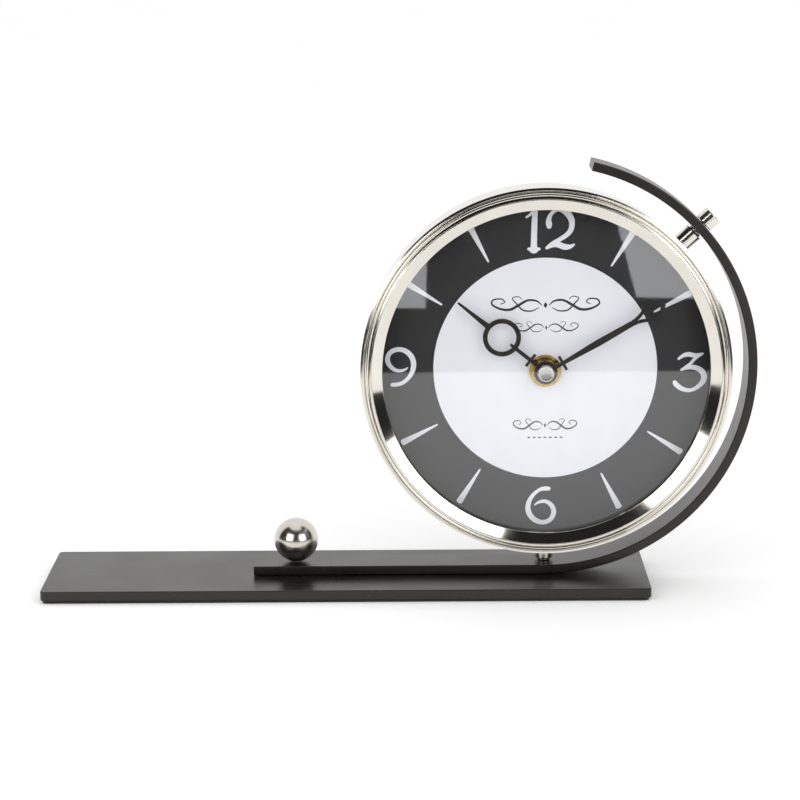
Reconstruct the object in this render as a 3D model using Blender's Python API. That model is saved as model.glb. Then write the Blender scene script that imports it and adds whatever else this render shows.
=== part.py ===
"""Mantel clock: a drum clock held inside a curled flat steel bar, on a long flat base plate.

+X is to the right along the base, +Y to the back, +Z up. The origin is at the centre of the
object's footprint, on the surface that it stands on. All lengths are in metres.
"""

import math

import bmesh
import bpy
from mathutils.geometry import tessellate_polygon

MM = 0.001

# Driving dimensions: stand
CLEARANCE = 0.3 * MM  # air between two pieces that touch or are clamped together
BASE_LENGTH = 300 * MM
BASE_DEPTH = 76 * MM
BASE_CORNER_RADIUS = 2.5 * MM
PLATE_THICKNESS = 4.8 * MM
PAD_THICKNESS = 1.2 * MM
PAD_INSET = 1.0 * MM
BAR_WIDTH = 22 * MM
BAR_THICKNESS = 4.5 * MM
BAR_STRAIGHT = 145.2 * MM  # from the bar's left end to where it starts to curl
ARC_OFFSET = 98.7 * MM  # centre of the curl, to the right of the base's centre
ARC_END = 77.2  # degrees above horizontal where the curl ends
ARC_STEP = 5  # degrees between the facets of the curl

# Driving dimensions: stand fasteners and ball
BALL_RADIUS = 11 * MM
BALL_INSET = 21 * MM  # from the bar's left end
BALL_HOLE_DEPTH = 9 * MM
SCREW_RADIUS = 2.0 * MM
HOLE_PLAY = 0.3 * MM  # a screw hole's radius over its screw's
SCREW_HEAD_RADIUS = 3.8 * MM
SCREW_HEAD_HEIGHT = 2.0 * MM
BAR_SCREW_INSETS = (50 * MM, 115 * MM)  # from the bar's left end
BLIND_FLOOR = 0.9 * MM  # metal left past a blind hole

# Driving dimensions: stand-offs
STANDOFF_LENGTH = 10.0 * MM  # gap between the drum and the bar
STANDOFF_RADIUS = 4.7 * MM
STANDOFF_NECK = 1.2 * MM
STANDOFF_NECK_RADIUS = 3.4 * MM
STANDOFF_ANGLE = 42  # degrees, the upper stand-off's direction from the clock's centre
CAP_RADIUS = 5.0 * MM
CAP_LENGTH = 6.4 * MM
CAP_CHAMFER = 0.5 * MM
CAP_THREAD_DEPTH = 4.0 * MM
NUT_THICKNESS = 2.4 * MM
NUT_RADIUS = 4.0 * MM

# Driving dimensions: case
DRUM_RADIUS = 89.8 * MM
DRUM_WALL = 1.0 * MM
DRUM_EDGE = 1.5 * MM  # roll of the drum's rear edge
DRUM_LIP = 13.5 * MM  # width of the drum's rear lip
CASE_FRONT = -25 * MM  # the bezel's crest
CASE_BACK = 7 * MM
BEZEL_DEPTH = 5.7 * MM  # crest to the flange's back
FLANGE_PROUD = 0.9 * MM  # how far the bezel's flange stands outside the drum
BEZEL_WIDTH = 10.7 * MM  # flange's edge to the opening
BEZEL_LIP = 3.0 * MM  # metal in front of the glass's rim
BEZEL_LIP_DEPTH = 3.4 * MM  # crest to the lip's back
BAND_WIDTH = 5.3 * MM  # the band that slopes out and forward from the opening to the crest
BAND_RISE = 2.2 * MM
STEP_WIDTH = 0.7 * MM  # the step down outside the crest
STEP_DROP = 1.1 * MM
BEAD_WIDTH = 1.4 * MM
BEAD_DROP = 1.4 * MM
RIM_DROP = 3.9 * MM  # crest to the front of the flange's edge
GLASS_THICKNESS = 2.0 * MM
GASKET_THICKNESS = 1.5 * MM
GASKET_WIDTH = 2.1 * MM
DIAL_FRONT = -10 * MM
DIAL_THICKNESS = 0.6 * MM
RING_WIDTH = 1.5 * MM
RETAINER_WIDTH = 2.2 * MM
RETAINER_THICKNESS = 1.5 * MM
COVER_THICKNESS = 1.2 * MM
COVER_MARGIN = 7 * MM  # drum's lip left showing round the cover
COVER_SCREW_INSET = 3 * MM
COVER_SCREW_RADIUS = 1.3 * MM
COVER_HEAD_RADIUS = 2.3 * MM
COVER_HEAD_HEIGHT = 1.3 * MM
COVER_HEAD_EDGE = 0.5 * MM  # rounding of the head
COVER_SCREW_LENGTH = 4.5 * MM
COVER_WINDOW_PLAY = 1.0 * MM

# Driving dimensions: movement, set about the hands' shaft
SHAFT_DROP = 1.0 * MM  # the shaft sits this far below the dial's centre
MOVEMENT_SIDE = 56 * MM  # width, and twice the height above the shaft
TRAIN_ROOM = 12.1 * MM  # from the shaft down to the battery's bay
MOVEMENT_WALL = 1.2 * MM
MOVEMENT_DEPTH = 15 * MM
MOVEMENT_SPLIT = 7.3 * MM  # depth of the front half
WASHER_THICKNESS = 0.5 * MM
BATTERY_RADIUS = 7.0 * MM
BATTERY_LENGTH = 49.5 * MM
NUB_RADIUS = 2.6 * MM
NUB_LENGTH = 1.0 * MM
CELL_EDGE = 0.4 * MM  # rounding of the cell's ends
BATTERY_PLAY = 0.35 * MM
CONTACT_THICKNESS = 0.4 * MM
CONTACT_MARGIN = 2.0 * MM  # from the contact's edges to the bay's

# Driving dimensions: shafts, bush and hands
ARBOR_RADIUS = 1.1 * MM
PIPE_BORE = 1.5 * MM
PIPE_RADIUS = 2.3 * MM
BUSH_BORE = 2.7 * MM
BUSH_RADIUS = 3.9 * MM
BUSH_FLANGE = 5.5 * MM
BUSH_FLANGE_THICKNESS = 0.5 * MM
BRASS_WASHER_RADIUS = 8.0 * MM
BRASS_WASHER_THICKNESS = 0.7 * MM
BRASS_NUT_RADIUS = 6.3 * MM
BRASS_NUT_THICKNESS = 2.0 * MM
RUBBER_WASHER_RADIUS = 11 * MM
PIVOT_RADIUS = 0.5 * MM
PIVOT_PLAY = 0.25 * MM
PIVOT_DEPTH = 0.7 * MM
HAND_THICKNESS = 0.6 * MM
HAND_SPACING = 1.0 * MM  # between the hour hand and the minute hand
HOUR_LENGTH = 55.4 * MM
MINUTE_LENGTH = 67 * MM
HOUR_ANGLE = 309  # degrees clockwise from twelve
MINUTE_ANGLE = 60
CAP_NUT_RADIUS = 4.2 * MM
CAP_NUT_HEIGHT = 2.1 * MM

# Driving dimensions: wheels
MOTION_MODULE = 0.5 * MM
TRAIN_MODULE = 0.4 * MM
ROTOR_MODULE = 0.35 * MM
WHEEL_THICKNESS = 0.75 * MM
WHEEL_SPACING = 0.3 * MM
CANNON_TEETH = 10
MOTION_TEETH = 30
MOTION_PINION_TEETH = 8
HOUR_TEETH = 32
CENTRE_TEETH = 48
THIRD_PINION_TEETH = 6
THIRD_TEETH = 45
ROTOR_PINION_TEETH = 6
SET_TEETH = 15
MOTION_DIRECTION = 10  # degrees, each arbor's direction from the one that it meshes with
SET_DIRECTION = 60
THIRD_DIRECTION = 150
ROTOR_DIRECTION = 95
MAGNET_RADIUS = 3.0 * MM
MAGNET_LENGTH = 2.6 * MM
KNOB_RADIUS = 6.0 * MM
KNOB_LENGTH = 4.0 * MM
KNOB_EDGE = 0.5 * MM
THIN_ARBOR_RADIUS = 0.7 * MM  # the third wheel's and the rotor's
TIP_SHARE = 0.20  # share of a tooth's pitch that its tip takes up
ROOT_SHARE = 0.54
ADDENDUM = 0.75  # of the module
DEDENDUM = 1.05

# Driving dimensions: motor and circuit
LAMINATION_THICKNESS = 0.8 * MM
STATOR_HALF_WIDTH = 4.2 * MM
STATOR_BELOW = 4.5 * MM  # the stator's lower edge, from the rotor's centre
STATOR_NOTCH = 1.0 * MM  # lower edge of the arm that runs to the coil
STATOR_TOP = 3.6 * MM
STATOR_ARM = 1.4 * MM
COIL_RADIUS = 2.6 * MM
COIL_FLANGE = 3.4 * MM
COIL_CHEEK = 0.8 * MM
COIL_CORE = 1.0 * MM
COIL_START = 6 * MM  # left of the rotor
COIL_LENGTH = 20 * MM
COIL_DROP = 4.6 * MM  # from the case's inner wall to the coil's axis
BOARD_GAP = 4 * MM
BOARD_HEIGHT = 8.7 * MM
BOARD_THICKNESS = 1.0 * MM
CHIP_RADIUS = 2.2 * MM
CHIP_HEIGHT = 1.3 * MM

# Facets of round pieces
CASE_SIDES = 48
HOLE_SIDES = 14
SCREW_SIDES = 14
SMALL_SIDES = 20

# Places worked out from the dimensions above
ARC_RADIUS = DRUM_RADIUS + STANDOFF_LENGTH + BAR_THICKNESS
BASE_X = (BASE_LENGTH / 2 - ARC_OFFSET - ARC_RADIUS) / 2
CLOCK_X = BASE_X + ARC_OFFSET
PLATE_BOTTOM = PAD_THICKNESS + CLEARANCE
PLATE_TOP = PLATE_BOTTOM + PLATE_THICKNESS
BAR_BOTTOM = PLATE_TOP + CLEARANCE
BAR_TOP = BAR_BOTTOM + BAR_THICKNESS
BAR_LEFT = CLOCK_X - BAR_STRAIGHT
CLOCK_Z = BAR_BOTTOM + ARC_RADIUS
ARC_INNER = ARC_RADIUS - BAR_THICKNESS
SHAFT_Z = CLOCK_Z - SHAFT_DROP

FLANGE_RADIUS = DRUM_RADIUS + FLANGE_PROUD
OPENING_RADIUS = FLANGE_RADIUS - BEZEL_WIDTH
REBATE_RADIUS = OPENING_RADIUS + BEZEL_LIP
GLASS_RADIUS = REBATE_RADIUS - CLEARANCE
DRUM_INNER = DRUM_RADIUS - DRUM_WALL
GLASS_FRONT = CASE_FRONT + BEZEL_LIP_DEPTH + CLEARANCE
GLASS_BACK = GLASS_FRONT + GLASS_THICKNESS
GASKET_BACK = GLASS_BACK + CLEARANCE + GASKET_THICKNESS
DRUM_FRONT = CASE_FRONT + BEZEL_DEPTH + CLEARANCE
DIAL_BACK = DIAL_FRONT + DIAL_THICKNESS
COVER_FRONT = CASE_BACK + CLEARANCE
COVER_BACK = COVER_FRONT + COVER_THICKNESS
COVER_RADIUS = DRUM_RADIUS - COVER_MARGIN

MOVEMENT_FRONT = DIAL_BACK + WASHER_THICKNESS + 2 * CLEARANCE
MOVEMENT_BACK = MOVEMENT_FRONT + MOVEMENT_DEPTH
FRONT_INNER = MOVEMENT_FRONT + MOVEMENT_WALL
BACK_INNER = MOVEMENT_BACK - MOVEMENT_WALL
SPLIT_FRONT = MOVEMENT_FRONT + MOVEMENT_SPLIT
HALF_SIDE = MOVEMENT_SIDE / 2
CAVITY_HALF = HALF_SIDE - MOVEMENT_WALL
BAY_TOP = -TRAIN_ROOM
BAY_BOTTOM = BAY_TOP - 2 * (BATTERY_RADIUS + BATTERY_PLAY)
CASE_BOTTOM = BAY_BOTTOM - MOVEMENT_WALL
BATTERY_Z = SHAFT_Z + (BAY_BOTTOM + BAY_TOP) / 2
BATTERY_Y = FRONT_INNER + BATTERY_PLAY + BATTERY_RADIUS

BUSH_FLANGE_FRONT = FRONT_INNER + CLEARANCE
HOUR_LEVEL = BUSH_FLANGE_FRONT + BUSH_FLANGE_THICKNESS + CLEARANCE + WHEEL_THICKNESS / 2
LEVEL_STEP = WHEEL_THICKNESS + WHEEL_SPACING
CANNON_LEVEL = HOUR_LEVEL + LEVEL_STEP
CENTRE_LEVEL = CANNON_LEVEL + LEVEL_STEP
THIRD_LEVEL = CENTRE_LEVEL + LEVEL_STEP
MAGNET_LEVEL = THIRD_LEVEL + LEVEL_STEP / 2 + MAGNET_LENGTH / 2
WASHER_FRONT = DIAL_FRONT - CLEARANCE - BRASS_WASHER_THICKNESS
NUT_FRONT = WASHER_FRONT - CLEARANCE - BRASS_NUT_THICKNESS
BUSH_FRONT = NUT_FRONT - 2 * CLEARANCE
HOUR_HAND_Y = BUSH_FRONT - CLEARANCE - HAND_THICKNESS / 2
PIPE_FRONT = HOUR_HAND_Y - HAND_THICKNESS / 2 - CLEARANCE / 2
MINUTE_HAND_Y = HOUR_HAND_Y - HAND_THICKNESS - HAND_SPACING
CAP_NUT_BACK = MINUTE_HAND_Y - HAND_THICKNESS / 2 - CLEARANCE
CAP_NUT_FRONT = CAP_NUT_BACK - CAP_NUT_HEIGHT
ARBOR_FRONT = CAP_NUT_FRONT + 3 * CLEARANCE


def clear_scene():
    for obj in list(bpy.data.objects):
        bpy.data.objects.remove(obj)


def material(name, colour, roughness, metallic=0.0):
    """A plain Principled finish, made once for each name."""
    found = bpy.data.materials.get(name)
    if found:
        return found
    made = bpy.data.materials.new(name)
    made.use_nodes = True
    shader = made.node_tree.nodes["Principled BSDF"]
    shader.inputs["Base Color"].default_value = (*colour, 1.0)
    shader.inputs["Roughness"].default_value = roughness
    shader.inputs["Metallic"].default_value = metallic
    made.diffuse_color = (*colour, 1.0)
    return made


def black_steel():
    return material("black_steel", (0.035, 0.032, 0.030), 0.45, 0.6)


def nickel():
    return material("polished_nickel", (0.80, 0.77, 0.72), 0.12, 1.0)


def satin_nickel():
    return material("satin_nickel", (0.62, 0.61, 0.59), 0.32, 1.0)


def zinc():
    return material("zinc_screw", (0.55, 0.56, 0.58), 0.35, 1.0)


def brass():
    return material("brass", (0.78, 0.58, 0.26), 0.25, 1.0)


def black_plastic():
    return material("black_plastic", (0.03, 0.03, 0.03), 0.5)


def nylon():
    return material("white_nylon", (0.85, 0.85, 0.82), 0.45)


def rubber():
    return material("rubber", (0.05, 0.05, 0.05), 0.8)


def clear_glass():
    return material("clear_glass", (0.9, 0.95, 0.95), 0.03)


def finish(obj, look, location=(0, 0, 0), rotation=(0, 0, 0)):
    """Puts a piece in its place, with its material and smooth shading on its round sides."""
    obj.data.materials.clear()
    obj.data.materials.append(look)
    obj.location = location
    obj.rotation_euler = rotation
    obj.data.shade_smooth()
    obj.data.set_sharp_from_angle(angle=math.radians(35))
    return obj


def object_of(name, bm):
    bmesh.ops.recalc_face_normals(bm, faces=bm.faces)
    mesh = bpy.data.meshes.new(name)
    bm.to_mesh(mesh)
    bm.free()
    obj = bpy.data.objects.new(name, mesh)
    bpy.context.scene.collection.objects.link(obj)
    return obj


def turned(name, profile, sides, axis="Z"):
    """A closed outline of (radius, height) points turned about Z, or about Y."""
    bm = bmesh.new()
    rings = []
    for radius, height in profile:
        count = sides if radius > 0 else 1
        ring = []
        for k in range(count):
            angle = 2 * math.pi * k / sides
            across = (radius * math.cos(angle), radius * math.sin(angle))
            point = (*across, height) if axis == "Z" else (across[0], height, across[1])
            ring.append(bm.verts.new(point))
        rings.append(ring)
    for k, ring in enumerate(rings):
        following = rings[(k + 1) % len(rings)]
        for i in range(sides):
            if len(ring) == 1 and len(following) == 1:
                break
            near, far = i, (i + 1) % sides
            corners = [ring[near % len(ring)], ring[far % len(ring)]]
            corners += [following[far % len(following)], following[near % len(following)]]
            corners = list(dict.fromkeys(corners))
            bm.faces.new(corners)
    return object_of(name, bm)


def plate(name, outlines, thickness):
    """Flat outlines, the first round the others, drawn in XY and given a thickness about z = 0."""
    bm = bmesh.new()
    flat = [(x, y, 0.0) for outline in outlines for x, y in outline]
    low = [bm.verts.new((x, y, -thickness / 2)) for x, y, _ in flat]
    high = [bm.verts.new((x, y, thickness / 2)) for x, y, _ in flat]
    loops = [[(x, y, 0.0) for x, y in outline] for outline in outlines]
    for triangle in tessellate_polygon(loops):
        bm.faces.new([low[i] for i in triangle])
        bm.faces.new([high[i] for i in reversed(triangle)])
    start = 0
    for outline in outlines:
        count = len(outline)
        for k in range(count):
            near, far = start + k, start + (k + 1) % count
            bm.faces.new([low[near], low[far], high[far], high[near]])
        start += count
    return object_of(name, bm)


def box(name, low, high):
    bm = bmesh.new()
    bmesh.ops.create_cube(bm, size=1.0)
    for vert in bm.verts:
        for k in range(3):
            vert.co[k] = low[k] if vert.co[k] < 0 else high[k]
    return object_of(name, bm)


def combine(obj, tools, operation):
    """Joins the tools to the piece, or cuts them from it, and removes them."""
    bpy.context.view_layer.update()
    for tool in tools:
        step = obj.modifiers.new("step", "BOOLEAN")
        step.solver = "EXACT"
        step.operation = operation
        step.object = tool
        bpy.context.view_layer.update()
        graph = bpy.context.evaluated_depsgraph_get()
        result = bpy.data.meshes.new_from_object(obj.evaluated_get(graph))
        obj.modifiers.clear()
        obj.data = result
        bpy.data.objects.remove(tool)
    return obj


def cut(obj, *tools):
    return combine(obj, tools, "DIFFERENCE")


def fuse(obj, *tools):
    return combine(obj, tools, "UNION")


def drill(radius, low, high, location=(0, 0, 0), rotation=(0, 0, 0), axis="Z"):
    """A round cutter from low to high along its axis."""
    profile = [(0, low), (radius, low), (radius, high), (0, high)]
    tool = turned("drill", profile, HOLE_SIDES, axis)
    tool.location = location
    tool.rotation_euler = rotation
    return tool


def circle(radius, sides=SMALL_SIDES, centre=(0, 0), start=0.0):
    angles = [start + 2 * math.pi * k / sides for k in range(sides)]
    return [(centre[0] + radius * math.cos(a), centre[1] + radius * math.sin(a)) for a in angles]


def rounded_rectangle(half_x, half_y, radius, steps=4):
    points = []
    for quarter, (sx, sy) in enumerate(((1, 1), (-1, 1), (-1, -1), (1, -1))):
        for k in range(steps + 1):
            angle = math.pi / 2 * (quarter + k / steps)
            x = sx * (half_x - radius) + radius * math.cos(angle)
            points.append((x, sy * (half_y - radius) + radius * math.sin(angle)))
    return points


def countersunk_profile(length):
    """A flat-headed screw, its head's face at z = 0 and its shank up to z = length."""
    neck = SCREW_HEAD_HEIGHT
    rim = SCREW_HEAD_HEIGHT * 0.2
    return [(0, 0), (SCREW_HEAD_RADIUS, 0), (SCREW_HEAD_RADIUS, rim), (SCREW_RADIUS, neck),
            (SCREW_RADIUS, length), (0, length)]


def countersink(depth):
    """A cutter that leaves play all round a flat-headed screw."""
    wide = SCREW_HEAD_RADIUS + HOLE_PLAY
    rim = SCREW_HEAD_HEIGHT * 0.2 + HOLE_PLAY
    neck = SCREW_HEAD_HEIGHT + HOLE_PLAY
    narrow = SCREW_RADIUS + HOLE_PLAY
    below = -PLATE_THICKNESS
    profile = [(0, below), (wide, below), (wide, rim), (narrow, neck), (narrow, depth), (0, depth)]
    return turned("countersink", profile, HOLE_SIDES)


# Stand


def make_base():
    half_x, half_y = BASE_LENGTH / 2, BASE_DEPTH / 2
    outline = rounded_rectangle(half_x, half_y, BASE_CORNER_RADIUS)
    base = plate("base_plate", [outline], PLATE_THICKNESS)
    finish(base, black_steel(), (BASE_X, 0, PLATE_BOTTOM + PLATE_THICKNESS / 2))
    for inset in BAR_SCREW_INSETS:
        hole = countersink(2 * PLATE_THICKNESS)
        hole.location = (BAR_LEFT + inset, 0, PLATE_BOTTOM + CLEARANCE)
        cut(base, hole)
    half_x, half_y = half_x - PAD_INSET, half_y - PAD_INSET
    outline = rounded_rectangle(half_x, half_y, BASE_CORNER_RADIUS)
    pad = plate("base_pad", [outline], PAD_THICKNESS)
    finish(pad, rubber(), (BASE_X, 0, PAD_THICKNESS / 2))


def arc_angles():
    """The curl's facets: from straight down, round the right side, to its free end."""
    whole = [-90 + ARC_STEP * k for k in range(math.ceil((90 + ARC_END) / ARC_STEP))]
    return [math.radians(angle) for angle in (*whole, ARC_END)]


def make_bar():
    outer = [(ARC_RADIUS * math.cos(a), ARC_RADIUS * math.sin(a)) for a in arc_angles()]
    inner = [(ARC_INNER * math.cos(a), ARC_INNER * math.sin(a)) for a in arc_angles()]
    outline = [(-BAR_STRAIGHT, -ARC_RADIUS), *outer, *reversed(inner), (-BAR_STRAIGHT, -ARC_INNER)]
    bar = plate("arc_bar", [outline], BAR_WIDTH)
    finish(bar, black_steel(), (CLOCK_X, 0, CLOCK_Z), (math.pi / 2, 0, 0))
    hole_radius = SCREW_RADIUS + HOLE_PLAY
    for inset in BAR_SCREW_INSETS:
        low, high = BAR_BOTTOM - BAR_THICKNESS, BAR_TOP - BLIND_FLOOR
        cut(bar, drill(hole_radius, low, high, (BAR_LEFT + inset, 0, 0)))
    low, high = BAR_BOTTOM + BLIND_FLOOR, BAR_TOP + BAR_THICKNESS
    cut(bar, drill(hole_radius, low, high, (CLOCK_X, 0, 0)))
    sunk = countersink(2 * BAR_THICKNESS)
    sunk.location = (BAR_LEFT + BALL_INSET, 0, BAR_BOTTOM + CLEARANCE)
    cut(bar, sunk)
    low, high = ARC_INNER - BAR_THICKNESS, ARC_RADIUS + BAR_THICKNESS
    cut(bar, drill(hole_radius, low, high, (CLOCK_X, 0, CLOCK_Z), standoff_turn()))


def make_bar_screws():
    reach = PLATE_THICKNESS + BAR_THICKNESS - BLIND_FLOOR - CLEARANCE
    for side, inset in zip(("left", "right"), BAR_SCREW_INSETS):
        screw = turned(f"bar_screw_{side}", countersunk_profile(reach), SCREW_SIDES)
        finish(screw, zinc(), (BAR_LEFT + inset, 0, PLATE_BOTTOM + CLEARANCE))


def make_ball():
    hole = SCREW_RADIUS + HOLE_PLAY
    lowest = math.sqrt(BALL_RADIUS**2 - hole**2)
    steps = 11
    first = math.asin(hole / BALL_RADIUS)
    profile = []
    for k in range(steps):
        angle = first + (math.pi - first) * k / steps
        profile.append((BALL_RADIUS * math.sin(angle), -BALL_RADIUS * math.cos(angle)))
    profile += [(0, BALL_RADIUS), (0, BALL_HOLE_DEPTH - lowest), (hole, BALL_HOLE_DEPTH - lowest)]
    ball = turned("ball", profile, 24)
    x = BAR_LEFT + BALL_INSET
    finish(ball, satin_nickel(), (x, 0, BAR_TOP + CLEARANCE + lowest))
    reach = BAR_THICKNESS + BALL_HOLE_DEPTH - 2 * CLEARANCE
    screw = turned("ball_screw", countersunk_profile(reach), SCREW_SIDES)
    finish(screw, zinc(), (x, 0, BAR_BOTTOM + CLEARANCE))


# Stand-offs between the drum and the bar


def standoff_turn():
    """Turns a piece's +Z to the upper stand-off's direction."""
    return (0, math.radians(90 - STANDOFF_ANGLE), 0)


def standoff_profile():
    """A tube along z, from the drum's side to its neck at the bar's side."""
    low, high = DRUM_RADIUS + CLEARANCE, ARC_INNER - CLEARANCE
    shoulder = high - STANDOFF_NECK
    bore = SCREW_RADIUS + HOLE_PLAY
    return [(bore, low), (STANDOFF_RADIUS, low), (STANDOFF_RADIUS, shoulder),
            (STANDOFF_NECK_RADIUS, shoulder), (STANDOFF_NECK_RADIUS, high), (bore, high)]


def make_standoffs():
    centre = (CLOCK_X, 0, CLOCK_Z)
    upper = turned("upper_standoff", standoff_profile(), SMALL_SIDES)
    finish(upper, nickel(), centre, standoff_turn())
    lower = turned("lower_standoff", standoff_profile(), SMALL_SIDES)
    finish(lower, nickel(), centre, (math.pi, 0, 0))

    head_seat = DRUM_INNER - CLEARANCE
    head_top = head_seat - SCREW_HEAD_HEIGHT
    end = ARC_RADIUS - BLIND_FLOOR - CLEARANCE
    profile = [(0, head_top), (SCREW_HEAD_RADIUS, head_top), (SCREW_HEAD_RADIUS, head_seat),
               (SCREW_RADIUS, head_seat), (SCREW_RADIUS, end), (0, end)]
    screw = turned("lower_standoff_screw", profile, SCREW_SIDES)
    finish(screw, zinc(), centre, (math.pi, 0, 0))

    cap_low = ARC_RADIUS + CLEARANCE
    cap_high = cap_low + CAP_LENGTH
    nut_inner = DRUM_INNER - CLEARANCE - NUT_THICKNESS
    stud_low = nut_inner - CLEARANCE
    stud_high = cap_low + CAP_THREAD_DEPTH - CLEARANCE
    profile = [(0, stud_low), (SCREW_RADIUS, stud_low), (SCREW_RADIUS, stud_high), (0, stud_high)]
    stud = turned("upper_stud", profile, SCREW_SIDES)
    finish(stud, zinc(), centre, standoff_turn())

    hole = SCREW_RADIUS + HOLE_PLAY
    floor = cap_low + CAP_THREAD_DEPTH
    profile = [(hole, cap_low), (CAP_RADIUS, cap_low), (CAP_RADIUS, cap_high - CAP_CHAMFER),
               (CAP_RADIUS - CAP_CHAMFER, cap_high), (0, cap_high), (0, floor), (hole, floor)]
    finish(turned("upper_cap", profile, SMALL_SIDES), nickel(), centre, standoff_turn())

    nut = plate("upper_nut", [circle(NUT_RADIUS, 6), circle(hole, 12)], NUT_THICKNESS)
    middle = nut_inner + NUT_THICKNESS / 2
    turn = math.radians(STANDOFF_ANGLE)
    place = (CLOCK_X + middle * math.cos(turn), 0, CLOCK_Z + middle * math.sin(turn))
    finish(nut, zinc(), place, standoff_turn())


# Case, turned about the clock's axis


def make_case_piece(name, profile, look):
    return finish(turned(name, profile, CASE_SIDES, "Y"), look, (CLOCK_X, 0, CLOCK_Z))


def ring_profile(inner, outer, front, back):
    return [(inner, front), (outer, front), (outer, back), (inner, back)]


def make_drum():
    back, wall = CASE_BACK, DRUM_WALL
    lip = DRUM_RADIUS - DRUM_LIP
    edge = DRUM_EDGE
    profile = [(DRUM_RADIUS, DRUM_FRONT), (DRUM_RADIUS, back - edge), (DRUM_RADIUS - edge, back),
               (lip, back), (lip, back - wall), (DRUM_INNER - edge, back - wall),
               (DRUM_INNER, back - wall - edge), (DRUM_INNER, DRUM_FRONT)]
    drum = make_case_piece("case_drum", profile, nickel())
    low, high = DRUM_INNER - STANDOFF_LENGTH, DRUM_RADIUS + STANDOFF_LENGTH
    radius = SCREW_RADIUS + HOLE_PLAY
    for turn in ((math.pi, 0, 0), standoff_turn()):
        cut(drum, drill(radius, low, high, (CLOCK_X, 0, CLOCK_Z), turn))
    radius = COVER_SCREW_RADIUS + HOLE_PLAY
    for place in cover_screw_places():
        cut(drum, drill(radius, back - 3 * wall, back + wall, place, axis="Y"))


def make_bezel():
    """A broad band slopes out and forward to the crest, and a step and a bead run down to the edge."""
    front, back = CASE_FRONT, CASE_FRONT + BEZEL_DEPTH
    inner, outer = OPENING_RADIUS, FLANGE_RADIUS
    crest = inner + BAND_WIDTH
    step = crest + STEP_WIDTH
    skirt_outer = DRUM_INNER - CLEARANCE
    skirt_back = DIAL_FRONT - CLEARANCE
    lip_back = front + BEZEL_LIP_DEPTH
    profile = [(inner, lip_back), (inner, front + BAND_RISE), (crest, front),
               (step, front + STEP_DROP), (step + BEAD_WIDTH, front + BEAD_DROP),
               (outer, front + RIM_DROP), (outer, back), (skirt_outer, back),
               (skirt_outer, skirt_back), (REBATE_RADIUS, skirt_back), (REBATE_RADIUS, lip_back)]
    make_case_piece("front_bezel", profile, nickel())


def make_glass():
    profile = [(0, GLASS_FRONT), (GLASS_RADIUS, GLASS_FRONT), (GLASS_RADIUS, GLASS_BACK),
               (0, GLASS_BACK)]
    make_case_piece("glass", profile, clear_glass())
    inner = GLASS_RADIUS - GASKET_WIDTH
    front = GLASS_BACK + CLEARANCE
    profile = ring_profile(inner, GLASS_RADIUS, front, GASKET_BACK)
    make_case_piece("glass_gasket", profile, rubber())


def make_dial():
    inner = GLASS_RADIUS - RING_WIDTH
    front, back = GASKET_BACK + CLEARANCE, DIAL_FRONT - CLEARANCE
    profile = ring_profile(inner, GLASS_RADIUS, front, back)
    make_case_piece("dial_ring", profile, black_plastic())
    radius = DRUM_INNER - CLEARANCE
    hole = circle(BUSH_RADIUS + CLEARANCE, centre=(0, -SHAFT_DROP))
    dial = plate("dial", [circle(radius, CASE_SIDES), hole], DIAL_THICKNESS)
    look = material("dial_print", (0.85, 0.86, 0.90), 0.6)
    finish(dial, look, (CLOCK_X, DIAL_FRONT + DIAL_THICKNESS / 2, CLOCK_Z), (math.pi / 2, 0, 0))
    front = DIAL_BACK + CLEARANCE
    profile = ring_profile(radius - RETAINER_WIDTH, radius, front, front + RETAINER_THICKNESS)
    make_case_piece("dial_retainer", profile, zinc())


def cover_screw_places():
    reach = COVER_RADIUS - COVER_SCREW_INSET
    turns = [math.radians(45 + 90 * k) for k in range(4)]
    return [(CLOCK_X + reach * math.cos(a), 0, CLOCK_Z + reach * math.sin(a)) for a in turns]


def make_cover():
    half = HALF_SIDE + COVER_WINDOW_PLAY
    low, high = CASE_BOTTOM - COVER_WINDOW_PLAY - SHAFT_DROP, half - SHAFT_DROP
    window = [(-half, low), (half, low), (half, high), (-half, high)]
    reach = COVER_RADIUS - COVER_SCREW_INSET
    radius = COVER_SCREW_RADIUS + HOLE_PLAY
    holes = []
    for k in range(4):
        turn = math.radians(45 + 90 * k)
        holes.append(circle(radius, 12, (reach * math.cos(turn), reach * math.sin(turn))))
    cover = plate("back_cover", [circle(COVER_RADIUS, CASE_SIDES), window, *holes], COVER_THICKNESS)
    middle = (COVER_FRONT + COVER_BACK) / 2
    finish(cover, black_plastic(), (CLOCK_X, middle, CLOCK_Z), (math.pi / 2, 0, 0))
    seat = COVER_BACK + CLEARANCE
    top = seat + COVER_HEAD_HEIGHT
    tip = seat - COVER_SCREW_LENGTH
    edge = COVER_HEAD_EDGE
    profile = [(0, tip), (COVER_SCREW_RADIUS, tip), (COVER_SCREW_RADIUS, seat),
               (COVER_HEAD_RADIUS, seat), (COVER_HEAD_RADIUS, top - edge),
               (COVER_HEAD_RADIUS - edge, top), (0, top)]
    for k, place in enumerate(cover_screw_places()):
        screw = turned(f"cover_screw_{k + 1}", profile, SCREW_SIDES, "Y")
        finish(screw, zinc(), place)


# Movement, about the shaft


def shaft_point(x, y, z):
    return (CLOCK_X + x, y, SHAFT_Z + z)


def along(origin, distance, degrees):
    turn = math.radians(degrees)
    return (origin[0] + distance * math.cos(turn), origin[1] + distance * math.sin(turn))


def mesh_distance(module, teeth_a, teeth_b):
    return module * (teeth_a + teeth_b) / 2


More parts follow.
